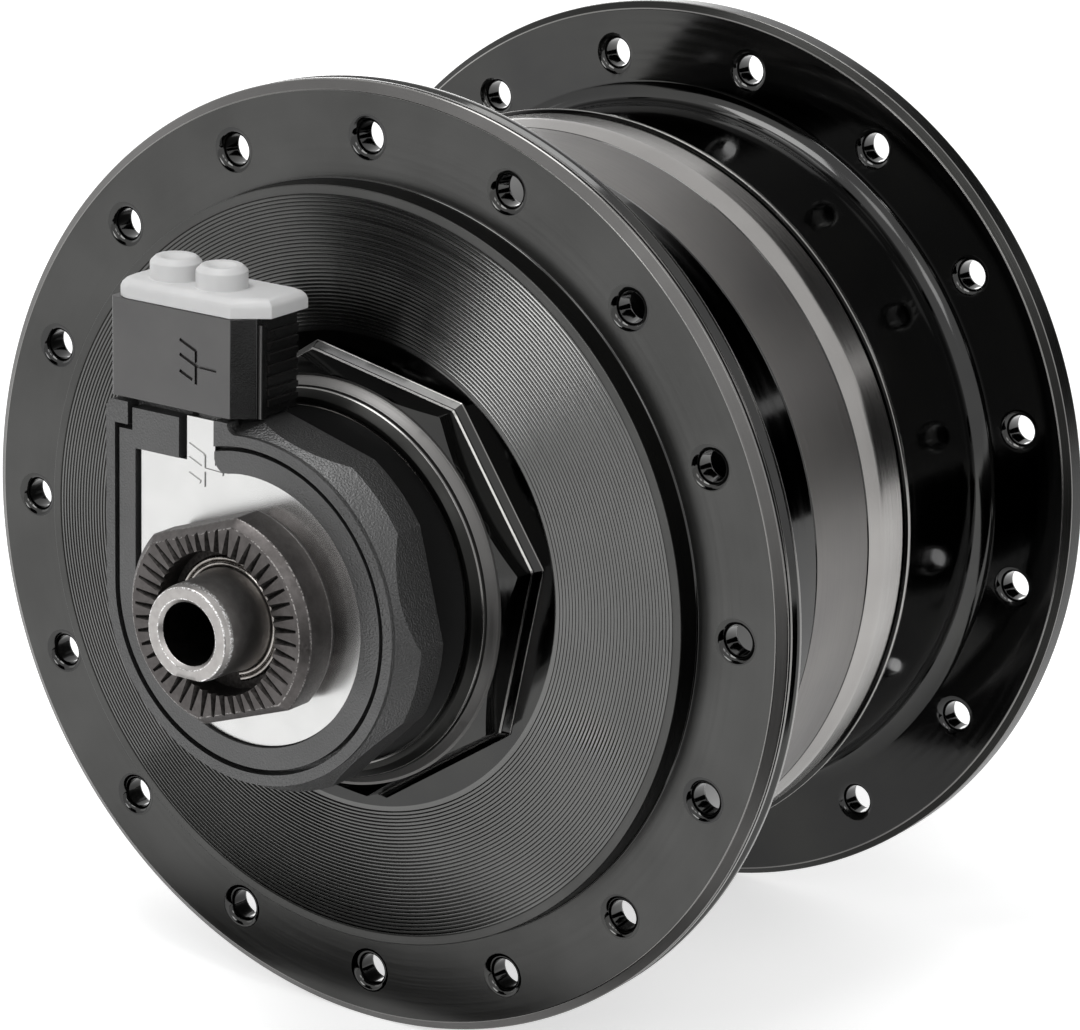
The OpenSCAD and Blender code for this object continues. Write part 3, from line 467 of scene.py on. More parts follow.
def shade(mesh: Mesh, angle: float = CREASE_DEG) -> None:
    """Shade a mesh smooth, with sharp edges where faces meet at more than an angle in degrees."""
    limit = math.radians(angle)
    with edited(mesh) as work:
        for face in work.faces:
            face.smooth = True
        for edge in work.edges:
            edge.smooth = len(edge.link_faces) == 2 and edge.calc_face_angle(0.0) < limit


def even(n: int) -> list[float]:
    """Evenly spaced angles round the axle."""
    return [TAU * i / n for i in range(n)]


def spot(r: float, y: float, angle: float) -> tuple[float, float, float]:
    """A point in metres from its radius, its place along the axle and its angle."""
    return r * math.sin(angle) * MM, y * MM, r * math.cos(angle) * MM


def closed(name: str, verts: list[tuple[float, float, float]], faces: list[tuple[int, ...]],
           finishes: list[Finish], zones: list[int] | None = None) -> Object:
    """Put a closed mesh in the scene with its faces turned outwards.

    Args:
        name: the piece's name.
        verts: its points in metres.
        faces: its faces, as numbers of the points.
        finishes: its finishes.
        zones: the number of each face's finish, or None for the first finish.

    Returns:
        The new object.
    """
    mesh = bpy.data.meshes.new(name)
    mesh.from_pydata(verts, [], faces)
    if zones:
        mesh.polygons.foreach_set("material_index", zones)
    with edited(mesh) as work:
        bmesh.ops.recalc_face_normals(work, faces=work.faces)
    return link_new(name, mesh, finishes)


def ring_faces(rings: int, sections: int) -> list[tuple[int, ...]]:
    """Faces between closed rings of points, from each ring to the next and round to the first."""
    return [(i * sections + j, i * sections + (j + 1) % sections,
             (i + 1) % rings * sections + (j + 1) % sections, (i + 1) % rings * sections + j)
            for i in range(rings) for j in range(sections)]


def tube_faces(rings: int, sections: int, base: int = 0) -> list[tuple[int, ...]]:
    """Faces of a tube with a lid at both ends.

    Args:
        rings: how many rings of points the tube has.
        sections: points in each ring.
        base: number of the tube's first point.

    Returns:
        The faces, as numbers of the points.
    """
    faces = [tuple(base + k for k in face)
             for face in ring_faces(rings, sections)[:(rings - 1) * sections]]
    ends = (base, base + (rings - 1) * sections)
    return faces + [tuple(range(end, end + sections)) for end in ends]


def lathe(name: str, corners: list[Corner], finishes: list[Finish], angles: list[float],
          shape: Callable[[float, float], float] | None = None, steps: int = 4,
          turn_over: bool = False) -> Object:
    """Make a closed ring from a profile, round or with a shaped outline.

    Args:
        name: the piece's name.
        corners: the profile's corners, in millimetres.
        finishes: the finishes, by the zone numbers of the corners.
        angles: angles of the ring's sections, from +Z towards +X.
        shape: radius of a shaped ring from its size and an angle.
        steps: faces in each rounded corner.
        turn_over: turn the piece half round the Z axis.

    Returns:
        The new object.
    """
    knots = soften(corners, steps)
    side = -1 if turn_over else 1
    n, m = len(angles), len(knots)
    verts, wear = [], []
    for k in knots:
        for a in angles:
            x, y, z = spot(shape(k.r, a) if k.shaped and shape else k.r, k.y, a)
            verts.append((side * x, side * y, z))
            wear.append(k.wear)
    zones = [k.zone for k in knots for _ in range(n)]
    piece = closed(name, verts, ring_faces(m, n), finishes, zones)
    piece.data.attributes.new("wear", "FLOAT", "POINT").data.foreach_set("value", wear)
    shade(piece.data)
    return piece


def ring_stack(name: str, rings: list[tuple[Callable[[float], tuple[float, float]], int]],
               finishes: list[Finish], angles: list[float]) -> Object:
    """Make a closed ring from sections whose radius and height follow the angle.

    Args:
        name: the piece's name.
        rings: for each ring of points, its radius and Y by angle, and the finish of the
            faces that follow it.
        finishes: the finishes, by number.
        angles: angles of the sections, from +Z towards +X.

    Returns:
        The new object.
    """
    n, m = len(angles), len(rings)
    verts = [spot(*at(a), a) for at, _ in rings for a in angles]
    zones = [zone for _, zone in rings for _ in range(n)]
    piece = closed(name, verts, ring_faces(m, n), finishes, zones)
    shade(piece.data, STACK_DEG)
    return piece


def baked(piece: Object) -> Object:
    """Turn a piece with modifiers into a plain mesh.

    Args:
        piece: an object whose modifiers are to be applied.

    Returns:
        The same object, with the evaluated mesh and no modifier.
    """
    bpy.context.view_layer.update()
    graph = bpy.context.evaluated_depsgraph_get()
    mesh = bpy.data.meshes.new_from_object(piece.evaluated_get(graph), depsgraph=graph,
                                           preserve_all_data_layers=True)
    piece.modifiers.clear()
    piece.data = mesh
    return piece


def even_normals(piece: Object) -> Object:
    """Let large faces hold their normals, so that flats stay flat up to a rounded edge."""
    modifier = piece.modifiers.new("even_normals", "WEIGHTED_NORMAL")
    modifier.keep_sharp = True
    modifier.weight = FLAT_WEIGHT
    return baked(piece)


def bevelled_copy(node: str, name: str, finishes: list[Finish], width: float,
                  rounded: Callable[[Edge], bool] | None = None,
                  crease: float = CREASE_DEG) -> Object:
    """Copy a solid's mesh and round its edges.

    Args:
        node: the solid's name.
        name: the new piece's name.
        finishes: the new piece's finishes.
        width: width of the rounded edges in millimetres.
        rounded: picks the edges to be rounded, or None for all.
        crease: smallest angle in degrees of an edge that is shaded sharp.

    Returns:
        The new object.
    """
    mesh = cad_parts[node].data.copy()
    mesh.materials.clear()
    limit = math.radians(CREASE_DEG)
    with edited(mesh) as work:
        bmesh.ops.remove_doubles(work, verts=work.verts, dist=SAME_POINT * MM)
        bmesh.ops.dissolve_limit(work, angle_limit=math.radians(FLAT_DEG), verts=work.verts,
                                 edges=work.edges)
        for face in work.faces:
            face.material_index = 0
        weight = work.edges.layers.float.new("bevel_weight_edge")
        for edge in work.edges:
            sharp = len(edge.link_faces) == 2 and edge.calc_face_angle(0.0) > limit
            edge[weight] = 1.0 if sharp and (rounded is None or rounded(edge)) else 0.0
    mesh.name = name
    piece = link_new(name, mesh, finishes)
    bevel = piece.modifiers.new("round_edges", "BEVEL")
    bevel.width = width * MM
    bevel.segments = BEVEL_FACES
    bevel.limit_method = "WEIGHT"
    bevel.use_clamp_overlap = True
    baked(piece)
    shade(piece.data, crease)
    return even_normals(piece)


# ---------------------------------------------------------------- geometry node trees

class RingTree:
    """Geometry Nodes tree: copies of a tool round the Y axis, cut out of a piece."""

    def __init__(self) -> None:
        """Build the tree."""
        tree = bpy.data.node_groups.new("ring_of_tools_cut", "GeometryNodeTree")
        self.tree = tree
        self.sockets: dict[str, str] = {}
        face = tree.interface
        face.new_socket("Geometry", in_out="INPUT", socket_type="NodeSocketGeometry")
        for name, kind in (("Tool", "NodeSocketObject"), ("Count", "NodeSocketInt"),
                           ("Radius", "NodeSocketFloat"), ("Phase", "NodeSocketFloat"),
                           ("Finish", "NodeSocketMaterial")):
            self.sockets[name] = face.new_socket(name, in_out="INPUT", socket_type=kind).identifier
        face.new_socket("Geometry", in_out="OUTPUT", socket_type="NodeSocketGeometry")
        given = add(tree, "NodeGroupInput").outputs
        index = add(tree, "GeometryNodeInputIndex").outputs[0]
        step = maths(tree, "DIVIDE", TAU, given["Count"])
        turn = maths(tree, "MULTIPLY_ADD", index, step, given["Phase"])
        way = add(tree, "ShaderNodeCombineXYZ", {"X": maths(tree, "SINE", turn),
                                                 "Z": maths(tree, "COSINE", turn)}).outputs[0]
        place = add(tree, "ShaderNodeVectorMath", {0: way, "Scale": given["Radius"]},
                    operation="SCALE").outputs[0]
        points = add(tree, "GeometryNodePoints", {"Count": given["Count"], "Position": place})
        tool = add(tree, "GeometryNodeObjectInfo", {"Object": given["Tool"]})
        facing = add(tree, "ShaderNodeCombineXYZ", {"Y": turn}).outputs[0]
        copies = add(tree, "GeometryNodeInstanceOnPoints",
                     {"Points": points.outputs[0], "Instance": tool.outputs["Geometry"],
                      "Rotation": facing})
        solid = add(tree, "GeometryNodeRealizeInstances", {0: copies.outputs[0]})
        cut = add(tree, "GeometryNodeMeshBoolean",
                  {"Mesh 1": given["Geometry"], "Mesh 2": solid.outputs[0]},
                  operation="DIFFERENCE", solver="EXACT")
        whole = add(tree, "GeometryNodeRealizeInstances", {0: cut.outputs["Mesh"]})
        chosen = add(tree, "GeometryNodeMaterialSelection", {"Material": given["Finish"]})
        dressed = add(tree, "GeometryNodeSetMaterial",
                      {"Geometry": whole.outputs[0], "Selection": chosen.outputs[0],
                       "Material": given["Finish"]})
        add(tree, "NodeGroupOutput", {0: dressed.outputs[0]})

    def use(self, piece: Object, tool: Object, count: int, radius: float, phase: float,
            finish: Finish) -> Object:
        """Cut the copies out and bake the piece.

        Args:
            piece: the piece that is cut.
            tool: the tool, drawn with +Z pointing away from the axle.
            count: number of copies.
            radius: radius of the ring in millimetres.
            phase: angle of the first copy in degrees.
            finish: the finish of the cut faces.

        Returns:
            The cut piece.
        """
        modifier = piece.modifiers.new("ring", "NODES")
        modifier.node_group = self.tree
        modifier[self.sockets["Tool"]] = tool
        modifier[self.sockets["Count"]] = count
        modifier[self.sockets["Radius"]] = radius * MM
        modifier[self.sockets["Phase"]] = math.radians(phase)
        modifier[self.sockets["Finish"]] = material_of(finish)
        baked(piece)
        bpy.data.objects.remove(tool)
        shade(piece.data)
        return even_normals(piece)


CUT_RING = RingTree()


def finish_piece(piece: Object, body: Body, node: str) -> None:
    """Hide the solid that a piece replaces, put the piece on its body and log its faces.

    Args:
        piece: the finished piece.
        body: the body that it moves with.
        node: the solid that it replaces.
    """
    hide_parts(node)
    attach(piece, body.value)
    log.info("%s: %d faces on %s", piece.name, len(piece.data.polygons), body.value)


# ---------------------------------------------------------------- the turning shell

@dataclass
class Shell:
    """Near flange, hub shell, sleeve and bearing cap."""

    flange_r: float = 45.0
    flange_out: float = 27.3
    flange_in: float = 24.3
    fillet: float = 2.0
    disc_y: float = -29.7
    disc_r: float = 36.0
    groove_from: float = 22.7
    groove_pitch: float = 0.342
    groove_depth: float = 0.075
    groove_count: int = 36
    groove_parts: tuple[tuple[float, float, bool], ...] = (
        (0.0, 0.0, False), (0.62, 1.0, True), (0.74, 0.95, True))
    spoke_circle: float = 40.0
    spoke_count: int = 16
    spoke_phase: float = -1.1
    hole_r: float = 1.4
    lip: float = 0.75
    bore_r: float = 33.0
    thread_r: float = 17.84
    sections: int = 288

    def lip_tool(self, y0: float, y1: float) -> Object:
        """The shape of one spoke hole, with a rounded lip at each face.

        Args:
            y0: the face nearer the connector.
            y1: the other face.

        Returns:
            A closed cutter whose axis is the Y axis.
        """
        n, steps = 40, 6
        out = self.hole_r + self.lip
        rings = [(out + 0.25, y0 - 1.0), (out + 0.02, y0 - 0.02)]
        for k in range(steps + 1):
            a = math.pi / 2 * k / steps
            rings.append((out - self.lip * math.sin(a), y0 + self.lip * (1 - math.cos(a))))
        for k in range(steps, -1, -1):
            a = math.pi / 2 * k / steps
            rings.append((out - self.lip * math.sin(a), y1 - self.lip * (1 - math.cos(a))))
        rings += [(out + 0.02, y1 + 0.02), (out + 0.25, y1 + 1.0)]
        verts = [spot(r, y, a) for r, y in rings for a in even(n)]
        return closed("spoke_hole_tool", verts, tube_faces(len(rings), n), [BLACK_GLOSS])

    def near_flange(self) -> None:
        """Flange with the raised turned disc, its rim bands and sixteen holes."""
        # Of these zones, the grooves' valleys and the disc's edge get painted shade, the thin lines
        # along the rim's corners a painted highlight, and the rim's outer chamfer a painted grey
        # sheen.
        face, groove, gloss, edge, painted_valley_shade, wear_and_sheen = 0, 1, 2, 3, 4, 5
        out, y, fillet = self.flange_r, -self.flange_out, self.fillet
        corners = rows((self.thread_r, self.disc_y, 0.0, gloss),
                       (self.groove_from - 0.25, self.disc_y, 0.0, groove))
        for i in range(self.groove_count):
            r = self.groove_from + i * self.groove_pitch
            for part, depth, deep in self.groove_parts:
                corners.append(Corner(r + part * self.groove_pitch,
                                      self.disc_y + depth * self.groove_depth, 0.0,
                                      painted_valley_shade if deep else groove))
        corners += rows(
            (self.groove_from + self.groove_count * self.groove_pitch, self.disc_y, 0.0, face),
            (self.disc_r - 0.14, self.disc_y, 0.12, painted_valley_shade), (self.disc_r, y - 0.12, 0.06, gloss),
            (self.disc_r + 0.12, y, 0.06, face), (out - 0.98, y, 0.0, edge),
            (out - 0.86, y + 0.06, 0.03, wear_and_sheen), (out - 0.08, y + 0.6, 0.03, edge),
            (out, y + 0.7, 0.03, edge), (out, y + 0.8, 0.04, gloss),
            (out - 0.22, y + 0.84, 0.0, gloss), (out - 0.22, y + 1.0, 0.0, gloss),
            (out, y + 1.04, 0.04, edge), (out, y + 1.36, 0.05, gloss))
        for i in range(4):
            corners += rows((out - 0.12, y + 1.42 + 0.28 * i, 0.0, gloss),
                            (out - 0.02, y + 1.56 + 0.28 * i, 0.0, gloss))
        corners += rows((out, y + 2.56, 0.04, edge), (out - 0.02, -self.flange_in, 0.16, gloss),
                        (38.2, -self.flange_in, 0.0, gloss))
        for k in range(1, 8):
            a = math.pi / 2 * k / 8
            corners.append(Corner(38.2 - fillet * math.sin(a),
                                  fillet - self.flange_in - fillet * math.cos(a), 0.0, gloss))
        corners += rows(
            (36.2, fillet - self.flange_in, 0.0, gloss), (36.2, -7.6, 0.12, gloss),
            (35.95, -7.3, 0.0, gloss), (self.bore_r, -7.3, 0.0, gloss),
            (self.bore_r, -26.5, 0.3, gloss), (self.thread_r, -26.5, 0.0, gloss))
        piece = lathe("near_flange_skin", corners,
                      [BLACK_TURNED, BLACK_GROOVED, BLACK_GLOSS, PAINTED_EDGE_HIGHLIGHT, PAINTED_SHADE_BLACK,
                       PAINTED_SHEEN_GREY], even(self.sections))
        CUT_RING.use(piece, self.lip_tool(-self.flange_out, -self.flange_in), self.spoke_count,
                     self.spoke_circle, self.spoke_phase, BLACK_GLOSS)
        finish_piece(piece, Body.SHELL, "near_flange")

    def hub_shell(self) -> None:
        """Barrel with its band and bead, and the far flange."""
        # Of these zones, the band and bead get a light grey painted highlight, the thin lines at
        # the far rim's corners a painted highlight, and the strips between them painted shade.
        gloss, band, edge, painted_shade = 0, 1, 2, 3
        out, inner, y, fillet = self.flange_r, self.flange_in, self.flange_out, self.fillet
        corners = rows(
            (33.0, -7.3), (34.68, -7.3), (34.68, 2.02), (35.9, 2.02), (36.0, 2.12, 0.05, band),
            (36.5, 4.1, 0.4, band), (36.5, 7.5, 0.1, gloss), (36.2, 7.55), (36.2, 7.78),
            (36.85, 7.85, 0.12, band), (36.85, 8.45, 0.2), (35.2, 9.3, 0.3))
        corners += [Corner(35.2 + fillet - fillet * math.cos(a),
                           inner - fillet + fillet * math.sin(a))
                    for a in [math.pi / 2 * k / 10 for k in range(11)]]
        corners += rows(
            (out - 0.78, inner, 0.06, edge), (out - 0.64, inner + 0.08, 0.05, painted_shade),
            (out - 0.06, inner + 0.56, 0.04, edge), (out, inner + 0.66, 0.04, painted_shade),
            (out, y - 0.55, 0.2, edge), (out - 0.35, y, 0.15, gloss), (30.0, y, 0.1),
            (29.5, 28.7, 0.3), (17.0, 28.7, 0.3), (15.5, 30.2, 0.3), (15.5, 36.44, 0.1),
            (15.1, 36.84, 0.1), (13.22, 36.84, 0.05), (13.22, 34.24), (12.22, 34.24),
            (12.22, 27.66), (8.8, 27.66), (8.8, 24.0), (33.0, 24.0))
        piece = lathe("hub_shell_skin", corners, [BLACK_GLOSS, PAINTED_HIGHLIGHT_GREY, PAINTED_EDGE_HIGHLIGHT, PAINTED_SHADE_BLACK],
                      even(self.sections))
        CUT_RING.use(piece, self.lip_tool(inner, y), self.spoke_count, self.spoke_circle,
                     self.spoke_phase + 180 / self.spoke_count, BLACK_GLOSS)
        finish_piece(piece, Body.SHELL, "hub_shell")

    def sleeve(self) -> None:
        """Plain grey sleeve pressed over the barrel."""
        corners = rows((34.7, -7.2), (35.88, -7.2, 0.06, 1), (36.0, -7.05, 0.05),
                       (36.0, 1.85, 0.05, 1), (35.88, 2.0, 0.06), (34.7, 2.0))
        piece = lathe("plain_sleeve_skin", corners, [GREY_SATIN, BLACK_GLOSS], even(self.sections))
        finish_piece(piece, Body.SHELL, "plain_sleeve")

    def bearing_cap(self) -> None:
        """Eight-sided cap with a round collar that holds the near bearing."""
        turn, sides, corner_soft = math.radians(11.25), 8, 0.45
        # Of these zones, the thin lines at the collar's and the foot's corners get a painted
        # highlight, the strips between them painted shade, and the cone behind the collar a painted
        # grey sheen.
        gloss, edge, painted_shade, wear_and_sheen = 0, 1, 2, 3
        half = math.pi / sides

        def octagon(apothem: float, angle: float) -> float:
            """Radius of the octagon with slightly rounded corners at an angle."""
            off = (angle - turn + half) % (2 * half) - half
            centre = (apothem - corner_soft) / math.cos(half)
            if abs(off) > math.atan2(centre * math.sin(half), apothem):
                slip = half - abs(off)
                return centre * math.cos(slip) + math.sqrt(
                    corner_soft ** 2 - (centre * math.sin(slip)) ** 2)
            return apothem / math.cos(off)

        angles = [turn + half * (2 * k + f) for k in range(sides) for f in
                  [-1 + i / 12 for i in range(24)] + [0.97, 0.985]]
        angles.sort()
        top_y, foot_y = -33.5, -30.8
        front_r, slope, knots = 19.3, 0.7, 9

        def wall(y: float) -> float:
            """Half the width across the flats of the octagon's wall at a height."""
            return 19.0 + 0.36 * (y - top_y) / (foot_y - top_y)

        def meet(angle: float) -> float:
            """Height at which the chamfer meets the octagon's wall, found step by step."""
            y = top_y
            for _ in range(12):
                y = top_y + slope * (octagon(wall(y), angle) - front_r)
            return max(y, top_y)

        rings: list[tuple[Callable[[float], tuple[float, float]], int]] = []

        def plain(r: float, y: float, zone: int = gloss) -> None:
            """Add a round ring to the cap."""
            rings.append((lambda angle, r=r, y=y: (r, y), zone))

        def eight(apothem: float, y: float, zone: int = gloss) -> None:
            """Add an eight-sided ring to the cap."""
            rings.append((lambda angle, a=apothem, y=y: (octagon(a, angle), y), zone))

        def chamfer(share: float) -> None:
            """Add a ring on the cone that takes the octagon's corners off."""
            def at(angle: float) -> tuple[float, float]:
                """Point of the ring: from the round front edge out to the octagon's wall."""
                y = meet(angle)
                reach = max(octagon(wall(y), angle), front_r if y <= top_y else 0.0)
                start = min(front_r, reach)
                return start + (reach - start) * share, top_y + (y - top_y) * share
            rings.append((at, gloss))

        for r, y, zone in ((16.7, -35.35, gloss), (16.74, -35.44, edge), (16.84, -35.5, edge),
                           (16.98, -35.5, painted_shade), (17.42, -35.5, painted_shade), (17.52, -35.48, painted_shade),
                           (17.62, -35.4, painted_shade), (18.18, -34.84, edge), (18.28, -34.7, painted_shade),
                           (18.34, -34.5, painted_shade), (18.38, -34.36, wear_and_sheen), (18.96, -33.68, wear_and_sheen),
                           (19.0, -33.56, wear_and_sheen), (19.06, -33.5, wear_and_sheen)):
            plain(r, y, zone)
        for k in range(knots + 1):
            chamfer(k / knots)
        steps = 10
        for k in range(1, steps + 1):
            def low(angle: float, t: float = k / steps) -> tuple[float, float]:
                """Point of the octagon's wall between the chamfer's edge and the foot."""
                y = meet(angle)
                here = y + (foot_y - y) * t
                return octagon(wall(here), angle), here
            rings.append((low, edge if k == steps else gloss))
        for apothem, y, zone in ((19.5, -30.66, gloss), (19.5, -30.48, gloss),
                                 (19.56, -30.4, gloss), (19.94, -29.88, edge),
                                 (20.0, -29.78, gloss), (20.0, -29.7, gloss)):
            eight(apothem, y, zone)
        for r, y in ((17.8, -29.7), (17.8, -25.2), (17.6, -25.0), (16.22, -25.0), (16.22, -31.34),
                     (15.0, -31.34), (15.0, -32.9), (16.7, -32.9)):
            plain(r, y)
        piece = ring_stack("bearing_cap_skin", rings,
                           [BLACK_GLOSS, PAINTED_EDGE_HIGHLIGHT, PAINTED_SHADE_BLACK, PAINTED_SHEEN_GREY], angles)
        finish_piece(even_normals(piece), Body.SHELL, "bearing_cap")

    def build(self) -> None:
        """Build all the pieces of the shell."""
        self.near_flange()
        self.hub_shell()
        self.sleeve()
        self.bearing_cap()


# ---------------------------------------------------------------- axle and locknuts

@dataclass
class AxleSet:
    """Hollow axle, the two locknuts and the snap ring."""

    end_r: float = 4.5
    thread_r: float = 4.75
    bore_r: float = 2.9
    bore_chamfer: float = 0.35
    tip: float = 54.0
    tip_chamfer: tuple[float, float] = (0.2, 0.8)
    face: float = 50.0
    flat: float = 0.5
    nut_r: float = 10.1
    nut_half: float = 8.8
    nut_turn: float = -19.3
    serrations: int = 44
    serration_depth: float = 0.45
    axle_sections: int = 144
    nut_sections: int = 160

    def axle(self) -> None:
        """Axle with rounded ends and the small flat under each end."""
        r, t, b = self.end_r, self.thread_r, self.bore_r
        across, along = self.tip_chamfer
        near = rows((b + self.bore_chamfer, -self.tip, 0.08), (r - across, -self.tip, 0.14),
                    (r, -self.tip + along, 0.3), (r, -self.face), (t, -self.face + 1.7),
                    (t, -45.0))
        middle = rows((6.0, -45.0), (6.0, -15.6), (7.0, -15.6), (7.0, 14.5), (6.0, 14.5),
                      (6.0, 25.42), (t, 25.42))
        far = [Corner(c.r, -c.y, c.soft) for c in reversed(near)][1:]
        # The bore takes a near-black steel: painted shade inside it.
        bore = rows((b, self.tip - self.bore_chamfer, 0.05, 1),
                    (b, -self.tip + self.bore_chamfer, 0.05))
        piece = lathe("axle_skin", near + middle + far + bore, [AXLE_STEEL, BORE_PAINTED_SHADE],
                      even(self.axle_sections), steps=5)
        for v in piece.data.vertices:
            if abs(v.co.y) > self.face * MM + 1e-6:
                v.co.z = max(v.co.z, (self.flat - r) * MM)
        finish_piece(piece, Body.AXLE, "axle")

    def groove_tool(self) -> Object:
        """V-shaped cutter for one serration, deepest and widest at the nut's recess."""
        lift, y = 0.3, -self.face
        ends = []
        for r, half, deep in ((6.2, 0.36, self.serration_depth), (9.05, 0.13, 0.14)):
            grow = 1 + lift / deep
            ends.append([(-half * grow, y - lift, r), (half * grow, y - lift, r),
                         (0.0, y + deep, r)])
        verts = [(x * MM, yy * MM, z * MM) for ring in ends for x, yy, z in ring]
        faces = [(0, 1, 2), (3, 5, 4), (0, 3, 4, 1), (1, 4, 5, 2), (2, 5, 3, 0)]
        return closed("serration_tool", verts, faces, [PAINTED_SHADE_STEEL])

    def nut(self, name: str, node: str, turn_over: bool) -> None:
        """Locknut with two flats and a serrated face.

        Args:
            name: the piece's name.
            node: the solid that it replaces.
            turn_over: True for the far nut.
        """
        turn = math.radians(self.nut_turn)

        def shape(radius: float, angle: float) -> float:
            """Radius of the nut's outline, cut by its two flats."""
            across = abs(math.cos(angle - turn))
            flat = self.nut_half - (self.nut_r - radius)
            return min(radius, flat / across) if across > 0.1 else radius

        edge = math.acos(self.nut_half / self.nut_r)
        extra = [turn + s * edge + k * math.pi for s in (-1, 1) for k in (0, 1)]
        angles = sorted({round(a % TAU, 6) for a in even(self.nut_sections) + extra})
        # Zone 1, the recess for the snap ring, and the serration cuts below take a darker steel:
        # painted shade.
        corners = rows(
            (4.77, -45.0), (4.77, -47.6, 0.0, 1), (6.5, -47.6, 0.0, 1), (6.6, -50.0, 0.12),
            (9.4, -50.0, 0.1, 0, True), (10.1, -49.2, 0.14, 0, True),
            (10.1, -46.2, 0.12, 0, True), (9.5, -45.0, 0.0, 0, True))
        piece = lathe(name, corners, [BLACK_STEEL, PAINTED_SHADE_STEEL], angles, shape, turn_over=turn_over)
        tool = self.groove_tool()
        if turn_over:
            tool.data.transform(Matrix.Rotation(math.pi, 4, "Z"))
        CUT_RING.use(piece, tool, self.serrations, 0.0,
                     self.nut_turn + 180 / self.serrations, PAINTED_SHADE_STEEL)
        finish_piece(piece, Body.AXLE, node)

    def snap_ring(self) -> None:
        """Open spring ring of two turns that sits in the near nut's recess."""
        start, sweep, n = math.radians(195), math.radians(330), 120
        wires = ((5.03, -47.9, 0.24), (5.52, -47.86, 0.24))
        verts, faces, k = [], [], 12
        for radius, y, thick in wires:
            base = len(verts)
            for i in range(n + 1):
                a = start + sweep * i / n
                for j in range(k):
                    c = TAU * j / k
                    verts.append(spot(radius + thick * math.cos(c), y + thick * math.sin(c), a))
            faces += tube_faces(n + 1, k, base)
        piece = closed("snap_ring_wire", verts, faces, [WIRE_STEEL])
        shade(piece.data)
        finish_piece(piece, Body.AXLE, "snap_ring")

    def build(self) -> None:
        """Build the axle, the nuts and the ring."""
        self.axle()
        self.nut("near_locknut_skin", "near_locknut", False)
        self.nut("far_locknut_skin", "far_locknut", True)
        self.snap_ring()


# ---------------------------------------------------------------- connector and plug

@dataclass
class Connector:
    """Connector base, its inner cover and the earth plate."""

    base_edge: float = 0.22
    cover_edge: float = 0.1
    plate_edge: float = 0.3
    plate_y: float = -45.0
    rounded_to: float = -44.6
    crease: float = 18.0

    def on_moulding(self, edge: Edge) -> bool:
        """Whether an edge is on the front part of a moulded piece."""
        return all(v.co.y < self.rounded_to * MM for v in edge.verts)

    def on_plate(self, edge: Edge) -> bool:
        """Whether an edge is an outer edge of the plate's face, and not of its raised sign."""
        return edge.is_convex and all(abs(v.co.y / MM - self.plate_y) < 0.05 for v in edge.verts)

    def build(self) -> None:
        """Round the edges of the moulded pieces and the plate."""
        for node, finish, width, chosen in (
                ("connector_base", NYLON_BLACK, self.base_edge, self.on_moulding),
                ("inner_cover", COVER_BLACK, self.cover_edge, self.on_moulding),
                ("earth_plate", TIN_SHEET, self.plate_edge, self.on_plate)):
            piece = bevelled_copy(node, node + "_skin", [finish], width, rounded=chosen,
                                  crease=self.crease)
            finish_piece(piece, Body.AXLE, node)


@dataclass
class Plug:
    """Plug body with its grips, and the light grey lid with two wire bosses."""

    edge: float = 0.24
    lid_edge: float = 0.3
    rounded_to: float = -42.0
    sign: tuple[float, float] = (-5.8, 21.3)

    def on_front(self, edge: Edge) -> bool:
        """Whether an edge is a long outer edge near the front, and not one of the sign's."""
        middle = (edge.verts[0].co + edge.verts[1].co) / 2 / MM
        on_sign = abs(middle.x - self.sign[0]) < 2.6 and abs(middle.z - self.sign[1]) < 2.2
        return (edge.is_convex and not on_sign and edge.calc_length() > 1.1 * MM
                and all(v.co.y < self.rounded_to * MM for v in edge.verts))

    def build(self) -> None:
        """Build the plug and its lid."""
        piece = bevelled_copy("plug_body", "plug_body_skin", [PLUG_BLACK, PLUG_PAINTED_SHADE], self.edge,
                              rounded=self.on_front)
        # The faces that point sideways get the darker glossier copy: painted shade on the plug's
        # flanks.
        for face in piece.data.polygons:
            face.material_index = int(abs(face.normal.x) > 0.4)
        finish_piece(piece, Body.PLUG, "plug_body")
        piece = bevelled_copy("plug_cap", "plug_cap_skin", [CAP_GREY], self.lid_edge)
        finish_piece(piece, Body.LID, "plug_cap")


# ---------------------------------------------------------------- inner works

@dataclass
class InnerWorks:
    """Solids whose shape is right as it is: bearings, generator, seals and terminals."""

    dress: dict[str, Finish] = field(default_factory=lambda: {
        "near_cone": GROUND_STEEL, "far_cone": GROUND_STEEL, "near_cup": GROUND_STEEL,
        "far_cup": GROUND_STEEL, "near_balls": BALL_STEEL, "far_balls": BALL_STEEL,
        "near_ball_cage": BARE_STEEL, "far_ball_cage": BARE_STEEL, "far_spacer": BLACK_STEEL,
        "stator_core": BARE_STEEL, "near_yoke": BARE_STEEL, "far_yoke": BARE_STEEL,
        "bobbin": NATURAL_NYLON, "coil": COPPER, "coil_lead": WIRE_COAT, "flux_ring": BARE_STEEL,
        "magnets": FERRITE, "near_seal": RUBBER, "far_dust_cap": RUBBER,
        "signal_terminal": TIN_SHEET})

    def build(self) -> None:
        """Give each solid the material of what it is."""
        for node, finish in self.dress.items():
            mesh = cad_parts[node].data
            mesh.materials.clear()
            mesh.materials.append(material_of(finish))
            log.info("%s: %s", node, finish.name)


# ---------------------------------------------------------------- floor, light and camera

@dataclass(frozen=True)
class Card:
    """A flat card of light, or a black flag where its power is zero."""

    name: str
    place: tuple[float, float, float]
    aim: tuple[float, float, float]
    size: tuple[float, float]
    power: float = 0.0


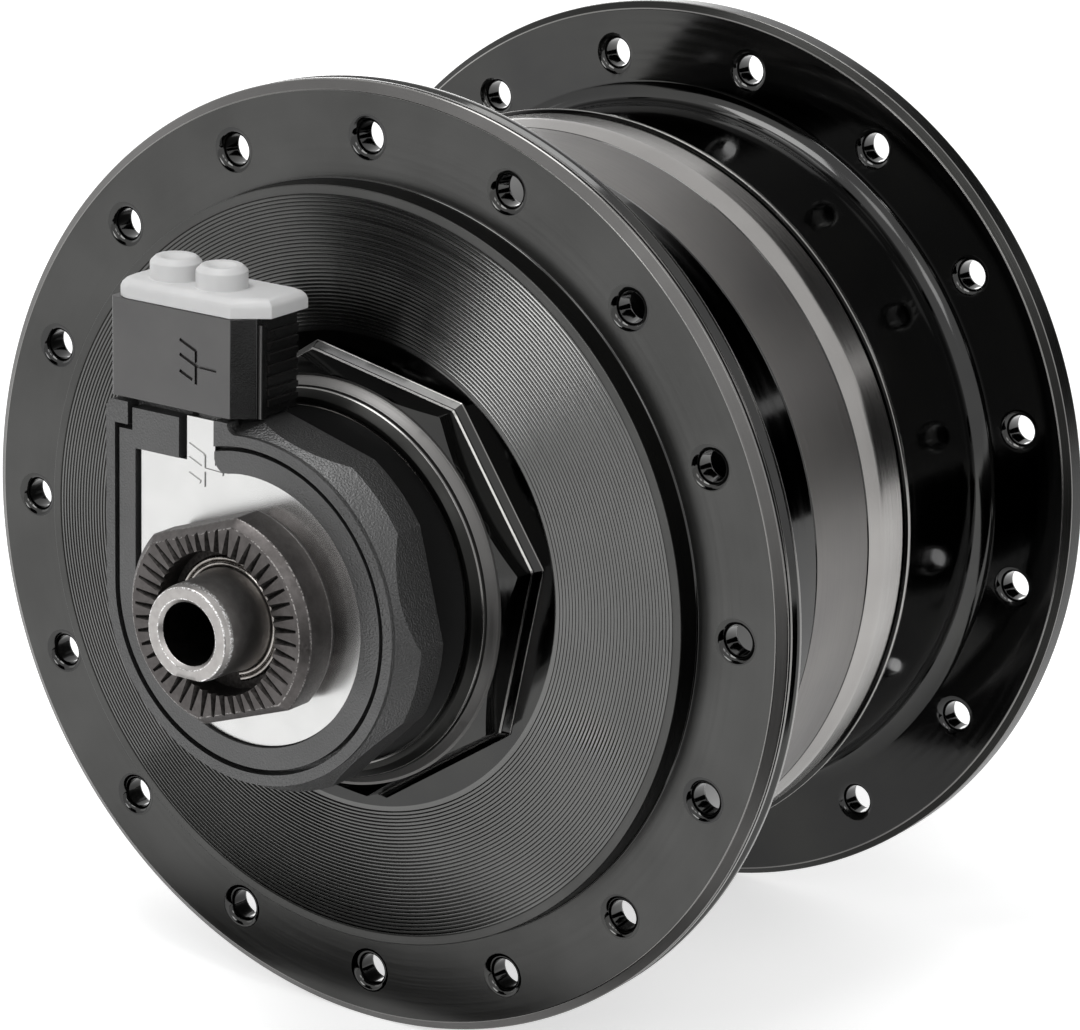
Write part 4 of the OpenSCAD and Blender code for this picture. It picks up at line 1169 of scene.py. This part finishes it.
@dataclass
class Studio:
    """Pale floor, soft light and the camera at the photograph's angle."""

    floor_z: float = -45.0
    floor_half: float = 3000.0
    azimuth: float = 34.294
    elevation: float = 16.696
    roll: float = 1.419
    eye: tuple[float, float, float] = (243.469, -356.482, 127.879)
    lens: float = 155.11
    ambient: float = 0.42
    floor_lift: float = 0.6
    cards: tuple[Card, ...] = (
        Card("top_softbox", (-60, -150, 620), (0, -10, 0), (330, 280), 1.6),
        Card("front_softbox", (-114, -648, 160), (0, -30, 0), (172, 138), 0.46),
        Card("right_front_softbox", (360, -420, 330), (0, -30, 0), (180, 160), 0.3),
        Card("upper_right_softbox", (222, -380, 517), (0, -30, 0), (170, 150), 0.24),
        Card("back_left_softbox", (-400, 530, 80), (0, 0, 20), (220, 180), 0.35),
        Card("left_softbox", (-560, -120, 140), (0, -10, 0), (300, 260), 0.2),
    )
    # The flags are seen only in reflections, where they paint dark patches: painted reflection. The
    # low floor flag under the hub paints the floor's shadow into them.
    flags: tuple[Card, ...] = (
        Card("left_front_flag", (-292, -545, 190), (0, -30, 0), (250, 400)),
        Card("back_top_flag", (120, 474, 276), (0, 0, 10), (430, 200)),
        Card("low_floor_flag", (0, -36, -44), (0, -35, 100), (110, 12)),
        Card("back_right_flag", (400, 560, 60), (0, 10, 0), (520, 260)),
        Card("right_floor_flag", (210, -170, -43), (210, -170, 100), (300, 270)),
    )

    def camera(self) -> None:
        """Put the camera at the photograph's viewing angle."""
        a, e, r = (math.radians(v) for v in (self.azimuth, self.elevation, self.roll))
        back = Vector((math.sin(a) * math.cos(e), -math.cos(a) * math.cos(e), math.sin(e)))
        right0 = Vector((math.cos(a), math.sin(a), 0.0))
        up0 = back.cross(right0)
        right = right0 * math.cos(r) + up0 * math.sin(r)
        up = up0 * math.cos(r) - right0 * math.sin(r)
        data = bpy.data.cameras.new("photo_camera")
        data.lens = self.lens
        data.sensor_width = 36.0
        data.clip_start = 0.01
        camera = show("photo_camera", data)
        axes = Matrix((right, up, back)).transposed().to_4x4()
        camera.matrix_world = Matrix.Translation(Vector(self.eye) * MM) @ axes
        bpy.context.scene.camera = camera

    def world(self) -> None:
        """White world to the eye and to reflections, and a plain level as light."""
        world = bpy.data.worlds.new("white_studio")
        bpy.context.scene.world = world
        tree = blank(world)
        level = span(tree, seen_ray(tree), 0.0, 1.0, self.ambient, 1.0)
        shine = add(tree, "ShaderNodeBackground", {"Color": linear("#ffffff"), "Strength": level})
        add(tree, "ShaderNodeOutputWorld", {"Surface": shine.outputs[0]})

    @staticmethod
    def sheet(name: str, half_w: float, half_h: float, z: float, made: Material) -> Object:
        """Put a flat sheet on the stage.

        Args:
            name: the sheet's name.
            half_w: half its width in millimetres.
            half_h: half its height in millimetres.
            z: its level in millimetres.
            made: its material.

        Returns:
            The sheet.
        """
        w, h, z = half_w * MM, half_h * MM, z * MM
        mesh = bpy.data.meshes.new(name)
        mesh.from_pydata([(-w, -h, z), (w, -h, z), (w, h, z), (-w, h, z)], [], [(0, 1, 2, 3)])
        mesh.materials.append(made)
        sheet = show(name, mesh)
        return sheet

    def floor(self) -> None:
        """Pale floor that keeps the object's shadow."""
        made = bpy.data.materials.new("pale_paper_floor")
        tree = blank(made)
        lift = span(tree, seen_ray(tree), 0.0, 1.0, 0.0, self.floor_lift)
        paper = add(tree, "ShaderNodeBsdfDiffuse", {"Color": linear("#f4f4f4")})
        glow = add(tree, "ShaderNodeEmission", {"Color": linear("#ffffff"), "Strength": lift})
        both = add(tree, "ShaderNodeAddShader", {0: paper.outputs[0], 1: glow.outputs[0]})
        add(tree, "ShaderNodeOutputMaterial", {"Surface": both.outputs[0]})
        self.sheet("studio_floor", self.floor_half, self.floor_half, self.floor_z, made)

    def aimed(self, card: Card) -> Matrix:
        """Where a card stands, turned so that its -Z side faces what it is aimed at."""
        here, there = Vector(card.place) * MM, Vector(card.aim) * MM
        turn = (there - here).to_track_quat("-Z", "Y").to_matrix().to_4x4()
        return Matrix.Translation(here) @ turn

    def lights(self) -> None:
        """Hang the soft lights and the black flags."""
        for card in self.cards:
            data = bpy.data.lights.new(card.name, "AREA")
            data.shape = "RECTANGLE"
            data.size, data.size_y = card.size[0] * MM, card.size[1] * MM
            data.energy = card.power
            lamp = show(card.name, data)
            lamp.visible_camera = False
            lamp.matrix_world = self.aimed(card)
        cloth = bpy.data.materials.new("black_flag_cloth")
        tree = blank(cloth)
        matt = add(tree, "ShaderNodeBsdfDiffuse", {"Color": linear("#050505")})
        add(tree, "ShaderNodeOutputMaterial", {"Surface": matt.outputs[0]})
        for card in self.flags:
            flag = self.sheet(card.name, card.size[0] / 2, card.size[1] / 2, 0.0, cloth)
            flag.matrix_world = self.aimed(card)
            flag.visible_camera = flag.visible_diffuse = flag.visible_shadow = False

    def build(self) -> None:
        """Set up the whole studio."""
        self.camera()
        self.world()
        self.floor()
        self.lights()
        bpy.context.scene.view_settings.view_transform = "Standard"


def main() -> None:
    """Build every part of the scene."""
    logging.basicConfig(level=logging.INFO, format="%(message)s")
    for part in (Studio(), Shell(), AxleSet(), Connector(), Plug(), InnerWorks()):
        part.build()
        log.info("%s is built", type(part).__name__)


if __name__ == "__main__":
    main()
